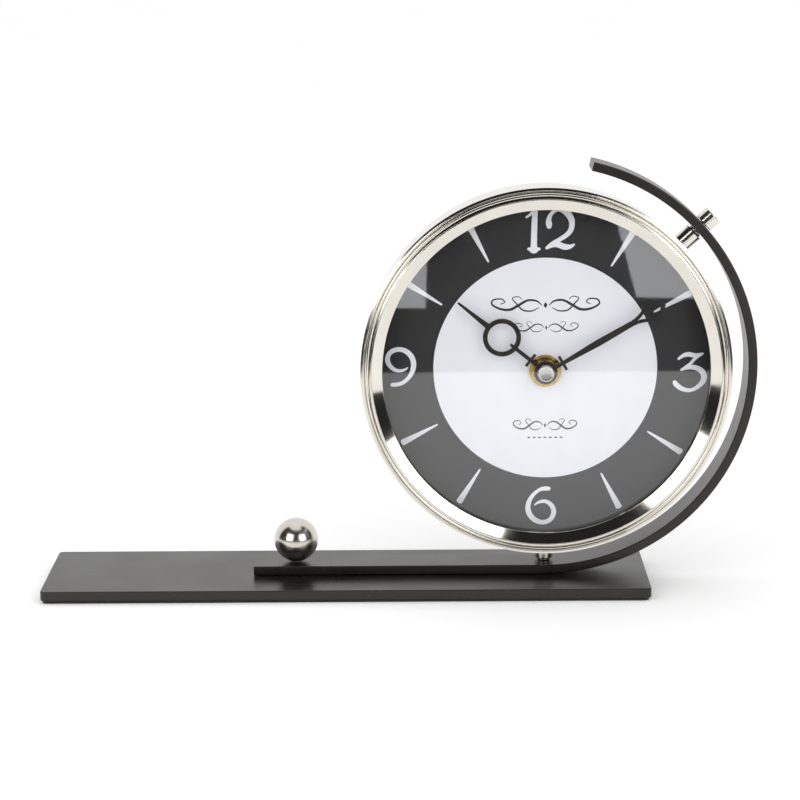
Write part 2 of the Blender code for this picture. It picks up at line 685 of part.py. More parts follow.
CENTRE_ARBOR = (0.0, 0.0)
MOTION_ARBOR = along(CENTRE_ARBOR, mesh_distance(MOTION_MODULE, CANNON_TEETH, MOTION_TEETH),
                     MOTION_DIRECTION)
SET_ARBOR = along(MOTION_ARBOR, mesh_distance(MOTION_MODULE, MOTION_TEETH, SET_TEETH), SET_DIRECTION)
THIRD_ARBOR = along(CENTRE_ARBOR, mesh_distance(TRAIN_MODULE, CENTRE_TEETH, THIRD_PINION_TEETH),
                    THIRD_DIRECTION)
ROTOR_ARBOR = along(THIRD_ARBOR, mesh_distance(ROTOR_MODULE, THIRD_TEETH, ROTOR_PINION_TEETH),
                    ROTOR_DIRECTION)


def meshing_phase(phase, teeth, other_teeth, direction):
    """The other wheel's phase that puts its gap against this wheel's tooth, both in radians."""
    turn = math.radians(direction)
    pitch, other_pitch = 2 * math.pi / teeth, 2 * math.pi / other_teeth
    part = (turn - phase) / pitch % 1
    return turn + math.pi - other_pitch * (0.5 - part)


def gear_outline(module, teeth, phase):
    """Straight-sided teeth, each four points, thin enough to leave play."""
    pitch_radius = module * teeth / 2
    tip, root = pitch_radius + ADDENDUM * module, pitch_radius - DEDENDUM * module
    pitch = 2 * math.pi / teeth
    wide, narrow = ROOT_SHARE / 2, TIP_SHARE / 2
    points = []
    for k in range(teeth):
        for radius, share in ((root, -wide), (tip, -narrow), (tip, narrow), (root, wide)):
            angle = phase + pitch * (k + share)
            points.append((radius * math.cos(angle), radius * math.sin(angle)))
    return points


def gear(module, teeth, phase, level, arbor):
    wheel = plate("wheel", [gear_outline(module, teeth, phase)], WHEEL_THICKNESS)
    wheel.location = shaft_point(arbor[0], level, arbor[1])
    wheel.rotation_euler = (math.pi / 2, 0, 0)
    return wheel


def arbor_shaft(name, arbor, radius, front, back, sides=12):
    """A round shaft with a thin pivot at each end that runs into the case."""
    tip, end = front - PIVOT_DEPTH, back + PIVOT_DEPTH
    profile = [(0, tip), (PIVOT_RADIUS, tip), (PIVOT_RADIUS, front), (radius, front),
               (radius, back), (PIVOT_RADIUS, back), (PIVOT_RADIUS, end), (0, end)]
    shaft = turned(name, profile, sides, "Y")
    return finish(shaft, nylon(), shaft_point(arbor[0], 0, arbor[1]))


def pivot_hole(arbor, wall):
    """A blind cutter for a pivot, from the inner face of a wall into it."""
    radius = PIVOT_RADIUS + PIVOT_PLAY
    depth = PIVOT_DEPTH + PIVOT_PLAY
    place = shaft_point(arbor[0], wall, arbor[1])
    return drill(radius, -depth, depth, place, axis="Y")


def make_movement_case():
    half, inner, gap = HALF_SIDE, CAVITY_HALF, CLEARANCE
    bay_low, bay_high = BAY_BOTTOM, BAY_TOP
    cavity_low = bay_high + MOVEMENT_WALL
    far = MOVEMENT_DEPTH

    low = shaft_point(-half, MOVEMENT_FRONT, CASE_BOTTOM)
    front = box("movement_front", low, shaft_point(half, SPLIT_FRONT, half))
    cavity = box("cavity", shaft_point(-inner, FRONT_INNER, cavity_low), shaft_point(inner, far, inner))
    bay = box("bay", shaft_point(-inner, FRONT_INNER, bay_low), shaft_point(inner, far, bay_high))
    cut(front, cavity, bay)
    place = shaft_point(0, 0, 0)
    outside = MOVEMENT_FRONT - MOVEMENT_WALL
    cut(front, drill(BUSH_RADIUS + gap, outside, FRONT_INNER + gap, place, axis="Y"))
    for arbor in (THIRD_ARBOR, ROTOR_ARBOR, SET_ARBOR, MOTION_ARBOR):
        cut(front, pivot_hole(arbor, FRONT_INNER))
    finish(front, black_plastic())

    low = shaft_point(-half, SPLIT_FRONT + gap, CASE_BOTTOM)
    rear = box("movement_rear", low, shaft_point(half, MOVEMENT_BACK, half))
    start = SPLIT_FRONT - far
    cavity = box("cavity", shaft_point(-inner, start, cavity_low), shaft_point(inner, BACK_INNER, inner))
    bay = box("bay", shaft_point(-inner, start, bay_low), shaft_point(inner, 2 * far, bay_high))
    cut(rear, cavity, bay)
    for arbor in (CENTRE_ARBOR, THIRD_ARBOR, ROTOR_ARBOR):
        cut(rear, pivot_hole(arbor, BACK_INNER))
    place = shaft_point(SET_ARBOR[0], 0, SET_ARBOR[1])
    cut(rear, drill(ARBOR_RADIUS + gap, BACK_INNER - gap, MOVEMENT_BACK + gap, place, axis="Y"))
    finish(rear, black_plastic())


def make_bush():
    centre = shaft_point(0, 0, 0)
    flange_back = BUSH_FLANGE_FRONT + BUSH_FLANGE_THICKNESS
    profile = [(BUSH_BORE, BUSH_FRONT), (BUSH_RADIUS, BUSH_FRONT), (BUSH_RADIUS, BUSH_FLANGE_FRONT),
               (BUSH_FLANGE, BUSH_FLANGE_FRONT), (BUSH_FLANGE, flange_back), (BUSH_BORE, flange_back)]
    finish(turned("threaded_bush", profile, SMALL_SIDES, "Y"), brass(), centre)
    hole = BUSH_RADIUS + CLEARANCE
    back = WASHER_FRONT + BRASS_WASHER_THICKNESS
    profile = ring_profile(hole, BRASS_WASHER_RADIUS, WASHER_FRONT, back)
    finish(turned("brass_washer", profile, 32, "Y"), brass(), centre)
    outline = circle(BRASS_NUT_RADIUS, 6, start=math.pi / 6)
    nut = plate("brass_nut", [outline, circle(hole)], BRASS_NUT_THICKNESS)
    middle = NUT_FRONT + BRASS_NUT_THICKNESS / 2
    finish(nut, brass(), shaft_point(0, middle, 0), (math.pi / 2, 0, 0))
    front = DIAL_BACK + CLEARANCE
    profile = ring_profile(hole, RUBBER_WASHER_RADIUS, front, front + WASHER_THICKNESS)
    finish(turned("rubber_washer", profile, SMALL_SIDES, "Y"), rubber(), centre)


def make_wheels():
    cannon_phase = centre_phase = hour_phase = third_phase = 0.0
    motion_phase = meshing_phase(cannon_phase, CANNON_TEETH, MOTION_TEETH, MOTION_DIRECTION)
    pinion_phase = meshing_phase(hour_phase, HOUR_TEETH, MOTION_PINION_TEETH, MOTION_DIRECTION)
    set_phase = meshing_phase(motion_phase, MOTION_TEETH, SET_TEETH, SET_DIRECTION)
    third_pinion_phase = meshing_phase(centre_phase, CENTRE_TEETH, THIRD_PINION_TEETH, THIRD_DIRECTION)
    rotor_phase = meshing_phase(third_phase, THIRD_TEETH, ROTOR_PINION_TEETH, ROTOR_DIRECTION)
    front, back = FRONT_INNER + CLEARANCE, BACK_INNER - CLEARANCE

    profile = [(0, ARBOR_FRONT), (ARBOR_RADIUS, ARBOR_FRONT), (ARBOR_RADIUS, back),
               (PIVOT_RADIUS, back), (PIVOT_RADIUS, back + PIVOT_DEPTH), (0, back + PIVOT_DEPTH)]
    centre = turned("minute_arbor", profile, 12, "Y")
    finish(centre, nylon(), shaft_point(0, 0, 0))
    fuse(centre, gear(MOTION_MODULE, CANNON_TEETH, cannon_phase, CANNON_LEVEL, CENTRE_ARBOR),
         gear(TRAIN_MODULE, CENTRE_TEETH, centre_phase, CENTRE_LEVEL, CENTRE_ARBOR))

    pipe_back = HOUR_LEVEL + WHEEL_THICKNESS / 4
    profile = [(0, PIPE_FRONT), (PIPE_RADIUS, PIPE_FRONT), (PIPE_RADIUS, pipe_back), (0, pipe_back)]
    hour = turned("hour_wheel", profile, 16, "Y")
    finish(hour, nylon(), shaft_point(0, 0, 0))
    fuse(hour, gear(MOTION_MODULE, HOUR_TEETH, hour_phase, HOUR_LEVEL, CENTRE_ARBOR))
    bore = drill(PIPE_BORE, PIPE_FRONT - MM, HOUR_LEVEL + MM, shaft_point(0, 0, 0), axis="Y")
    cut(hour, bore)

    motion = arbor_shaft("motion_wheel", MOTION_ARBOR, ARBOR_RADIUS, front,
                         CANNON_LEVEL - WHEEL_THICKNESS / 4)
    fuse(motion, gear(MOTION_MODULE, MOTION_TEETH, motion_phase, CANNON_LEVEL, MOTION_ARBOR),
         gear(MOTION_MODULE, MOTION_PINION_TEETH, pinion_phase, HOUR_LEVEL, MOTION_ARBOR))

    third = arbor_shaft("third_wheel", THIRD_ARBOR, THIN_ARBOR_RADIUS, front, back)
    fuse(third, gear(TRAIN_MODULE, THIRD_PINION_TEETH, third_pinion_phase, CENTRE_LEVEL, THIRD_ARBOR),
         gear(ROTOR_MODULE, THIRD_TEETH, third_phase, THIRD_LEVEL, THIRD_ARBOR))

    rotor = arbor_shaft("rotor", ROTOR_ARBOR, THIN_ARBOR_RADIUS, front, back)
    low, high = MAGNET_LEVEL - MAGNET_LENGTH / 2, MAGNET_LEVEL + MAGNET_LENGTH / 2
    profile = [(0, low), (MAGNET_RADIUS, low), (MAGNET_RADIUS, high), (0, high)]
    magnet = turned("magnet", profile, 16, "Y")
    magnet.location = shaft_point(ROTOR_ARBOR[0], 0, ROTOR_ARBOR[1])
    fuse(rotor, gear(ROTOR_MODULE, ROTOR_PINION_TEETH, rotor_phase, THIRD_LEVEL, ROTOR_ARBOR), magnet)

    knob_front = MOVEMENT_BACK + CLEARANCE
    knob_back = knob_front + KNOB_LENGTH
    tip, edge = front - PIVOT_DEPTH, KNOB_EDGE
    profile = [(0, tip), (PIVOT_RADIUS, tip), (PIVOT_RADIUS, front), (ARBOR_RADIUS, front),
               (ARBOR_RADIUS, knob_front), (KNOB_RADIUS, knob_front),
               (KNOB_RADIUS, knob_back - edge), (KNOB_RADIUS - edge, knob_back), (0, knob_back)]
    knob = turned("set_knob", profile, SMALL_SIDES, "Y")
    finish(knob, nylon(), shaft_point(SET_ARBOR[0], 0, SET_ARBOR[1]))
    fuse(knob, gear(MOTION_MODULE, SET_TEETH, set_phase, CANNON_LEVEL, SET_ARBOR))


def make_motor():
    """The stator round the rotor's magnet, the coil on its bridge, and the circuit that drives it."""
    x, z = ROTOR_ARBOR
    hole = circle(MAGNET_RADIUS + 2 * CLEARANCE, 16, (x, z))
    coil_z = CAVITY_HALF - COIL_DROP
    coil_left = x - COIL_START
    coil_right = coil_left + COIL_LENGTH
    left, right = x - STATOR_HALF_WIDTH, x + STATOR_HALF_WIDTH
    arm_left, arm_right = coil_right + STATOR_ARM, coil_right + 2 * STATOR_ARM
    notch, top, arm_top = z + STATOR_NOTCH, z + STATOR_TOP, coil_z + STATOR_ARM
    outline = [(left, z - STATOR_BELOW), (right, z - STATOR_BELOW), (right, notch),
               (arm_right, notch), (arm_right, arm_top), (arm_left, arm_top), (arm_left, top),
               (left, top)]
    stator = plate("stator", [outline, hole], LAMINATION_THICKNESS)
    look = material("silicon_steel", (0.5, 0.5, 0.52), 0.4, 1.0)
    finish(stator, look, shaft_point(0, MAGNET_LEVEL, 0), (math.pi / 2, 0, 0))

    core, flange, radius, length = COIL_CORE, COIL_FLANGE, COIL_RADIUS, COIL_LENGTH
    cheek = COIL_CHEEK
    profile = [(0, -core), (core, -core), (core, 0), (flange, 0), (flange, cheek), (radius, cheek),
               (radius, length - cheek), (flange, length - cheek), (flange, length), (core, length),
               (core, length + core), (0, length + core)]
    coil = turned("coil", profile, SMALL_SIDES)
    look = material("copper_winding", (0.70, 0.32, 0.14), 0.35, 1.0)
    place = shaft_point(coil_left, MAGNET_LEVEL + COIL_CORE, coil_z)
    finish(coil, look, place, (0, math.pi / 2, 0))

    left, right = coil_right + BOARD_GAP, CAVITY_HALF - CLEARANCE
    low, high = right - BOARD_HEIGHT, right
    face, back = MAGNET_LEVEL, MAGNET_LEVEL + BOARD_THICKNESS
    board = box("circuit_board", shaft_point(left, face, low), shaft_point(right, back, high))
    middle = BOARD_THICKNESS / 2
    shoulder, dome = middle + CHIP_HEIGHT * 0.8, middle + CHIP_HEIGHT
    profile = [(0, dome), (CHIP_RADIUS * 0.7, shoulder), (CHIP_RADIUS, middle), (0, middle)]
    chip = turned("chip", profile, 12, "Y")
    chip.location = shaft_point((left + right) / 2, face, (low + high) / 2)
    look = material("circuit_board", (0.05, 0.22, 0.10), 0.5)
    finish(board, look)
    fuse(board, chip)


def make_battery():
    half, radius, edge = BATTERY_LENGTH / 2, BATTERY_RADIUS, CELL_EDGE
    profile = [(0, -half), (radius - edge, -half), (radius, -half + edge), (radius, half - edge),
               (radius - edge, half), (NUB_RADIUS, half), (NUB_RADIUS, half + NUB_LENGTH),
               (0, half + NUB_LENGTH)]
    battery = turned("battery", profile, SMALL_SIDES)
    look = material("battery_wrap", (0.10, 0.30, 0.16), 0.3, 0.2)
    place = (CLOCK_X - NUB_LENGTH / 2, BATTERY_Y, BATTERY_Z)
    finish(battery, look, place, (0, math.pi / 2, 0))

    reach = (BATTERY_LENGTH + NUB_LENGTH) / 2 + CLEARANCE
    low_z, high_z = BAY_BOTTOM + CONTACT_MARGIN, BAY_TOP - CONTACT_MARGIN
    low_y, high_y = FRONT_INNER + CLEARANCE, MOVEMENT_BACK - CONTACT_MARGIN
    for side, sign in (("plus", 1), ("minus", -1)):
        edges = sorted((sign * reach, sign * (reach + CONTACT_THICKNESS)))
        low = shaft_point(edges[0], low_y, low_z)
        contact = box(f"contact_{side}", low, shaft_point(edges[1], high_y, high_z))
        finish(contact, zinc())


# Hands


def half_circle(centre, radius, start, end, steps):
    """Points (along, across) on a circle whose centre is on the hand's middle line."""
    turns = [math.radians(start + (end - start) * k / steps) for k in range(steps + 1)]
    return [(centre + radius * math.cos(a), radius * math.sin(a)) for a in turns]


def both_sides(half):
    """The closed outline of a hand, from its one side, which runs from the middle line to it."""
    mirrored = [(s, -w) for s, w in reversed(half) if w > 0]
    return [*half, *mirrored]


def make_hand(name, outlines, y, clock_angle):
    hand = plate(name, outlines, HAND_THICKNESS)
    look = material("black_hand", (0.02, 0.02, 0.02), 0.4, 0.3)
    turn = math.radians(90 - clock_angle)
    # The outlines run along local +X. The plate stands up, then turns about the shaft.
    finish(hand, look, shaft_point(0, y, 0), (math.pi / 2, -turn, 0))
    return hand


def make_hour_hand():
    """A hub, a crossbar, a ring with a short barb inside it, and a tapering blade."""
    hub, stem = 4.8 * MM, 0.95 * MM
    cross, cross_half, cross_width = 9.5 * MM, 3.75 * MM, 1.4 * MM
    ring, ring_outer, ring_inner = 27.6 * MM, 9.4 * MM, 7.05 * MM
    barb_end, barb = 22.2 * MM, 0.7 * MM
    blade, tip, point = 1.35 * MM, 0.35 * MM, 1.0 * MM
    hub_end = math.degrees(math.asin(stem / hub))
    ring_start = 180 - math.degrees(math.asin(stem / ring_outer))
    ring_end = math.degrees(math.asin(blade / ring_outer))
    eye_end = 180 - math.degrees(math.asin(barb / ring_inner))
    half = [*half_circle(0, hub, 180, hub_end, 8),
            (cross - cross_width / 2, stem), (cross - cross_width / 2, cross_half),
            (cross + cross_width / 2, cross_half), (cross + cross_width / 2, stem),
            *half_circle(ring, ring_outer, ring_start, ring_end, 12),
            (HOUR_LENGTH - point, tip * 1.6), (HOUR_LENGTH, tip)]
    eye = [*half_circle(ring, ring_inner, 0, eye_end, 12), (barb_end, barb)]
    hole = circle(PIPE_RADIUS + CLEARANCE, 16)
    make_hand("hour_hand", [both_sides(half), hole, both_sides(eye)], HOUR_HAND_Y, HOUR_ANGLE)


def flare(start, end, narrow, wide, power, steps):
    """Points (along, across) that widen slowly at first, as a trumpet's side does."""
    shares = [k / steps for k in range(steps + 1)]
    return [(start + (end - start) * k, narrow + (wide - narrow) * k**power) for k in shares]


def make_minute_hand():
    """A hub, a crossbar and a blade that parts into two branches, which close again to the tip."""
    hub, neck = 5.75 * MM, 1.0 * MM
    cross, cross_half, cross_width = 9.6 * MM, 3.9 * MM, 1.4 * MM
    belly, belly_at = 1.7 * MM, 30 * MM
    waist, waist_at = 1.35 * MM, 48.5 * MM
    wide, wide_at = 5.8 * MM, 60 * MM
    branch, tip = 1.1 * MM, 0.4 * MM
    fork, fork_end = 51.5 * MM, MINUTE_LENGTH - 2.6 * MM
    hub_end = math.degrees(math.asin(neck / hub))
    half = [*half_circle(0, hub, 180, hub_end, 10),
            (cross - cross_width / 2, neck), (cross - cross_width / 2, cross_half),
            (cross + cross_width / 2, cross_half), (cross + cross_width / 2, neck),
            (belly_at, belly), *flare(waist_at, wide_at, waist, wide, 1.8, 5),
            (wide_at + branch, wide - branch / 4), (MINUTE_LENGTH, tip)]
    inner_wide, inner_at = wide - 1.4 * branch, wide_at + branch / 4
    inner = [*flare(fork, inner_at, 0.0, inner_wide, 1.5, 4), (fork_end, 0.0)]
    hole = circle(ARBOR_RADIUS + CLEARANCE, 14)
    outlines = [both_sides(half), hole, both_sides(inner)]
    make_hand("minute_hand", outlines, MINUTE_HAND_Y, MINUTE_ANGLE)


def make_cap_nut():
    hole = ARBOR_RADIUS + CLEARANCE
    floor = ARBOR_FRONT - CLEARANCE
    rim = 0.6 * MM
    profile = [(0, CAP_NUT_FRONT), (CAP_NUT_RADIUS - rim, CAP_NUT_FRONT),
               (CAP_NUT_RADIUS, CAP_NUT_FRONT + rim), (CAP_NUT_RADIUS, CAP_NUT_BACK),
               (hole, CAP_NUT_BACK), (hole, floor), (0, floor)]
    finish(turned("cap_nut", profile, SMALL_SIDES, "Y"), satin_nickel(), shaft_point(0, 0, 0))


clear_scene()
make_base()
make_bar()
make_bar_screws()
make_ball()
make_standoffs()
make_drum()
make_bezel()
make_glass()
make_dial()
make_cover()
make_movement_case()
make_bush()
make_wheels()
make_motor()
make_battery()
make_hour_hand()
make_minute_hand()
make_cap_nut()
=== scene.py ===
import math

import bmesh
import bpy
from mathutils import Matrix, Vector


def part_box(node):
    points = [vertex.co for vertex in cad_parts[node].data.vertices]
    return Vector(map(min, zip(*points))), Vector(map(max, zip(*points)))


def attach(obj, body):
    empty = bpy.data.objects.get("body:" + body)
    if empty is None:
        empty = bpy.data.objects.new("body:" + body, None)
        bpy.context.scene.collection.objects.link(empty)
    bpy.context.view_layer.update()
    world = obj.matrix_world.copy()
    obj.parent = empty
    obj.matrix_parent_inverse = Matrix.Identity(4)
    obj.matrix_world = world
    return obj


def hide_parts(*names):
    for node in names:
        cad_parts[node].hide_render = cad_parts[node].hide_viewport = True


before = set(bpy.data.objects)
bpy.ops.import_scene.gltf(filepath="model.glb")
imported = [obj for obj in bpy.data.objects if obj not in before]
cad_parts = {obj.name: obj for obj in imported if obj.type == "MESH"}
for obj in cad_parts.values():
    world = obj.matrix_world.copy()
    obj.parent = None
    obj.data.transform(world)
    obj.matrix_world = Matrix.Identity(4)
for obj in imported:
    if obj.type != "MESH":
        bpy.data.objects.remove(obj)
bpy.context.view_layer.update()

# --- Base plate -----------------------------------------------------------------------------
# A long flat bar of mild steel, cut square with its edges eased and its corners rounded a little.
# It is sprayed with a thin satin black lacquer, which keeps a fine grain and a few cloudy marks.
MM = 0.001


class Socket:
    """One output of a node; arithmetic on it adds the nodes that work it out."""

    def __init__(self, graph, link):
        self.graph = graph
        self.link = link

    def __add__(self, other):
        return self.graph.maths("ADD", self, other)

    __radd__ = __add__

    def __sub__(self, other):
        return self.graph.maths("SUBTRACT", self, other)

    def __rsub__(self, other):
        return self.graph.maths("SUBTRACT", other, self)

    def __mul__(self, other):
        return self.graph.maths("MULTIPLY", self, other)

    __rmul__ = __mul__

    def __truediv__(self, other):
        return self.graph.maths("DIVIDE", self, other)

    def __pow__(self, other):
        return self.graph.maths("POWER", self, other)

    def split(self):
        """The three parts of a vector."""
        parts = self.graph.node("ShaderNodeSeparateXYZ", inputs={0: self})
        return [Socket(self.graph, out) for out in parts.link.node.outputs]


class Graph:
    """The nodes of one tree."""

    def __init__(self, tree):
        self.tree = tree

    def node(self, kind, settings=None, inputs=None, output=0):
        made = self.tree.nodes.new(kind)
        for key, value in (settings or {}).items():
            if key == "stops":
                self.stop_ramp(made.color_ramp.elements, value)
            else:
                setattr(made, key, value)
        for key, value in (inputs or {}).items():
            target = made.inputs[key]
            if isinstance(value, Socket):
                self.tree.links.new(value.link, target)
            elif target.type == "RGBA" and len(value) == 3:
                target.default_value = (*value, 1.0)
            else:
                target.default_value = value
        return Socket(self, made.outputs[output]) if made.outputs else made

    def stop_ramp(self, elements, stops):
        while len(elements) < len(stops):
            elements.new(0.5)
        for element, (place, colour) in zip(elements, stops):
            element.position = place
            element.color = (*colour, 1.0)

    def maths(self, operation, *values):
        kinds = {value.link.type for value in values if isinstance(value, Socket)}
        if "RGBA" in kinds:
            sides = [(v, v, v, 1.0) if isinstance(v, (int, float)) else v for v in values]
            mix = {"data_type": "RGBA", "blend_type": operation}
            return self.node("ShaderNodeMix", mix, {0: 1.0, 6: sides[0], 7: sides[1]}, 2)
        if "VECTOR" in kinds:
            sides = [(v, v, v) if isinstance(v, (int, float)) else v for v in values]
            return self.node("ShaderNodeVectorMath", {"operation": operation}, dict(enumerate(sides)))
        return self.node("ShaderNodeMath", {"operation": operation}, dict(enumerate(values)))

    def vector(self, x, y, z):
        return self.node("ShaderNodeCombineXYZ", inputs={0: x, 1: y, 2: z})


class Finish(Graph):
    """A surface finish: one material and the patterns that its colour and gloss come from."""

    def __init__(self, name):
        self.material = bpy.data.materials.new(name)
        self.material.use_nodes = True
        self.material.node_tree.nodes.clear()
        super().__init__(self.material.node_tree)
        self.where = self.node("ShaderNodeTexCoord", output=3)

    def noise(self, scale, detail=3.0, where=None):
        settings = {"Vector": where or self.where, "Scale": scale, "Detail": detail}
        return self.node("ShaderNodeTexNoise", inputs=settings)

    def ramp(self, value, *stops):
        return self.node("ShaderNodeValToRGB", {"stops": stops}, {0: value})

    def between(self, value, low, high, start=0.0, end=1.0):
        """start below low, end above high, and a smooth change between them."""
        inputs = {"Value": value, "From Min": low, "From Max": high, "To Min": start, "To Max": end}
        return self.node("ShaderNodeMapRange", {"interpolation_type": "SMOOTHSTEP"}, inputs)

    def mix(self, factor, first, second):
        return self.node("ShaderNodeMix", {"data_type": "RGBA"}, {0: factor, 6: first, 7: second}, 2)

    def bump(self, height, distance, strength=1.0):
        inputs = {"Strength": strength, "Distance": distance, "Height": height}
        return self.node("ShaderNodeBump", inputs=inputs)

    def about(self, centre):
        """Radius from an axis along Y, and the direction round it as two parts."""
        x, _, z = (self.where - tuple(centre)).split()
        radius = (x * x + z * z) ** 0.5
        return radius, x / radius, z / radius

    def surface(self, colour, roughness, **more):
        inputs = {"Base Color": colour, "Roughness": roughness}
        inputs.update({name.replace("_", " "): value for name, value in more.items()})
        shader = self.node("ShaderNodeBsdfPrincipled", inputs=inputs)
        self.node("ShaderNodeOutputMaterial", inputs={"Surface": shader})
        return self.material


def lacquered(name, cloud_scale, dark=(0.0085, 0.0078, 0.0070), light=(0.0150, 0.0135, 0.0120)):
    """Thin satin black lacquer on steel: grain, cloudy marks and a few light specks of dust."""
    finish = Finish(name)
    cloud = finish.noise(cloud_scale, 4.0)
    grain = finish.noise(2400.0, 2.0)
    dust = finish.between(finish.noise(1300.0, 1.0), 0.76, 0.84)
    ground = finish.ramp(cloud, (0.3, dark), (0.7, light))
    colour = finish.mix(dust * 0.5, ground, (0.16, 0.15, 0.14))
    gloss = finish.between(cloud, 0.25, 0.75, 0.23, 0.31) + grain * 0.05
    return finish.surface(colour, gloss, Normal=finish.bump(grain + dust, 0.000008, 0.6),
                          Specular_Tint=(1.0, 0.95, 0.88))


def skin(name, rings, closed=False):
    """A mesh through rings of points; a ring of one point is a pole. Open ends are capped."""
    mesh = bpy.data.meshes.new(name)
    work = bmesh.new()
    loops = [[work.verts.new(point) for point in ring] for ring in rings]
    pairs = list(zip(loops, loops[1:]))
    if closed:
        pairs.append((loops[-1], loops[0]))
    for first, second in pairs:
        count = max(len(first), len(second))
        for k in range(count):
            corners = [first[k % len(first)], first[(k + 1) % len(first)],
                       second[(k + 1) % len(second)], second[k % len(second)]]
            work.faces.new(list(dict.fromkeys(corners)))
    for loop in (loops[0], loops[-1]):
        if not closed and len(loop) > 2:
            work.faces.new(loop)
    bmesh.ops.recalc_face_normals(work, faces=work.faces)
    work.to_mesh(mesh)
    work.free()
    return mesh


def piece(name, mesh, material, smooth=35.0, edge=0.0, limit=50.0):
    """A new object of the scene, shaded smooth except where its faces turn sharply.

    Flat faces keep their own normal, and edge rounds the edges that turn by more than limit."""
    made = bpy.data.objects.new(name, mesh)
    bpy.context.scene.collection.objects.link(made)
    mesh.materials.clear()
    mesh.materials.append(material)
    mesh.polygons.foreach_set("use_smooth", [True] * len(mesh.polygons))
    mesh.set_sharp_from_angle(angle=math.radians(smooth))
    if edge:
        bevel = made.modifiers.new("eased_edges", "BEVEL")
        bevel.width = edge
        bevel.segments = 3
        bevel.angle_limit = math.radians(limit)
        bevel.use_clamp_overlap = False
    level = made.modifiers.new("flat_faces", "WEIGHTED_NORMAL")
    level.keep_sharp = True
    return made


def fit(made, body, slot, *nodes):
    """The piece rides on its body and stands for its CAD nodes, which it hides; slot is not used."""
    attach(made, body)
    if nodes:
        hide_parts(*nodes)
    return made


def rounded_outline(low, high, radius, steps, level, inset=0.0):
    """A rectangle in plan with rounded corners, moved in from its edges by inset."""
    points = []
    corner = max(radius - inset, 0.0001 * MM)
    corners = ((high.x, high.y), (low.x, high.y), (low.x, low.y), (high.x, low.y))
    for quarter, (x, y) in enumerate(corners):
        mid = Vector((x - radius if x > low.x else x + radius, y - radius if y > low.y else y + radius))
        for step in range(steps + 1):
            turn = math.radians(90 * (quarter + step / steps))
            points.append((mid.x + corner * math.cos(turn), mid.y + corner * math.sin(turn), level))
    return points


def slab(name, low, high, radius, edge, steps=6):
    """A flat plate with rounded corners and eased edges."""
    rings = []
    for step in range(4):
        turn = math.radians(30 * step)
        rings.append(rounded_outline(low, high, radius, steps, low.z + edge * (1 - math.sin(turn)),
                                     edge * (1 - math.cos(turn))))
    rings.reverse()
    upper = [[(x, y, high.z + low.z - z) for x, y, z in ring] for ring in reversed(rings)]
    return skin(name, rings + upper)


plate_corner = 2.5 * MM
plate_edge = 0.45 * MM
plate_low, plate_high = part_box("base_plate")
lacquer = lacquered("black_lacquer", 26.0)
plate = piece("base_plate_finished", slab("base_plate_finished", plate_low, plate_high, plate_corner,
                                          plate_edge), lacquer)
fit(plate, "clock", "black_steel", "base_plate")

# --- Pad ------------------------------------------------------------------------------------
# A sheet of thin black felt glued under the plate, trimmed a millimetre inside its edges.
# Its fibres lie every way, so it is dull and a little uneven.
pad_edge = 0.3 * MM


def felted():
    finish = Finish("black_felt")
    fibres = finish.noise(3200.0, 6.0)
    colour = finish.ramp(fibres, (0.3, (0.006, 0.006, 0.006)), (0.75, (0.028, 0.027, 0.026)))
    return finish.surface(colour, 0.95, Normal=finish.bump(fibres, 0.0003, 0.8), Sheen_Weight=0.4,
                          Sheen_Roughness=0.5)


pad_low, pad_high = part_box("base_pad")
pad = piece("felt_pad", slab("felt_pad", pad_low, pad_high, plate_corner, pad_edge), felted())
fit(pad, "clock", "felt_pad", "base_pad")

# --- Curled bar -----------------------------------------------------------------------------
# One flat steel bar, straight along the plate and rolled round the clock's right side.
# It has the plate's lacquer, and its cut ends and long edges are eased.
bar_width = 22 * MM
bar_thickness = 4.5 * MM
bar_edge = 0.6 * MM
bar_end_edge = 0.35 * MM
curl_sweep = math.radians(167.2)  # from the lowest point, round the right side, to the tip
bar_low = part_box("arc_bar")[0]
drum_low, drum_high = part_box("case_drum")
clock_centre = (drum_low + drum_high) / 2
curl_radius = clock_centre.z - bar_low.z - bar_thickness / 2


def geometry(name, sizes):
    """An empty geometry tree with named inputs for its sizes, and those inputs as sockets."""
    tree = bpy.data.node_groups.new(name, "GeometryNodeTree")
    tree.interface.new_socket("Geometry", in_out="INPUT", socket_type="NodeSocketGeometry")
    for size, value in sizes.items():
        kind = {float: "Float", int: "Int", bpy.types.Material: "Material"}[type(value)]
        made = tree.interface.new_socket(size, in_out="INPUT", socket_type="NodeSocket" + kind)
        made.default_value = value
    tree.interface.new_socket("Geometry", in_out="OUTPUT", socket_type="NodeSocketGeometry")
    graph = Graph(tree)
    outputs = graph.node("NodeGroupInput").link.node.outputs
    return graph, {out.name: Socket(graph, out) for out in outputs if out.name}


def close(graph, shape, material):
    """Ends a geometry tree with real geometry and its material."""
    real = graph.node("GeometryNodeRealizeInstances", inputs={"Geometry": shape})
    done = graph.node("GeometryNodeSetMaterial", inputs={"Geometry": real, "Material": material})
    graph.node("NodeGroupOutput", inputs={"Geometry": done})


def grow(name, graph, sizes, base=None):
    """Runs a geometry tree with these sizes and returns the result as a plain mesh."""
    seed = bpy.data.objects.new(name + "_seed", base or bpy.data.meshes.new(name + "_seed"))
    bpy.context.scene.collection.objects.link(seed)
    modifier = seed.modifiers.new(name, "NODES")
    modifier.node_group = graph.tree
    for item in graph.tree.interface.items_tree:
        if item.in_out == "INPUT" and item.name in sizes:
            modifier[item.identifier] = sizes[item.name]
    bpy.context.view_layer.update()
    shown = bpy.context.evaluated_depsgraph_get()
    mesh = bpy.data.meshes.new_from_object(seed.evaluated_get(shown))
    seed.modifiers.remove(modifier)
    bpy.data.objects.remove(seed)
    mesh.name = name
    return mesh


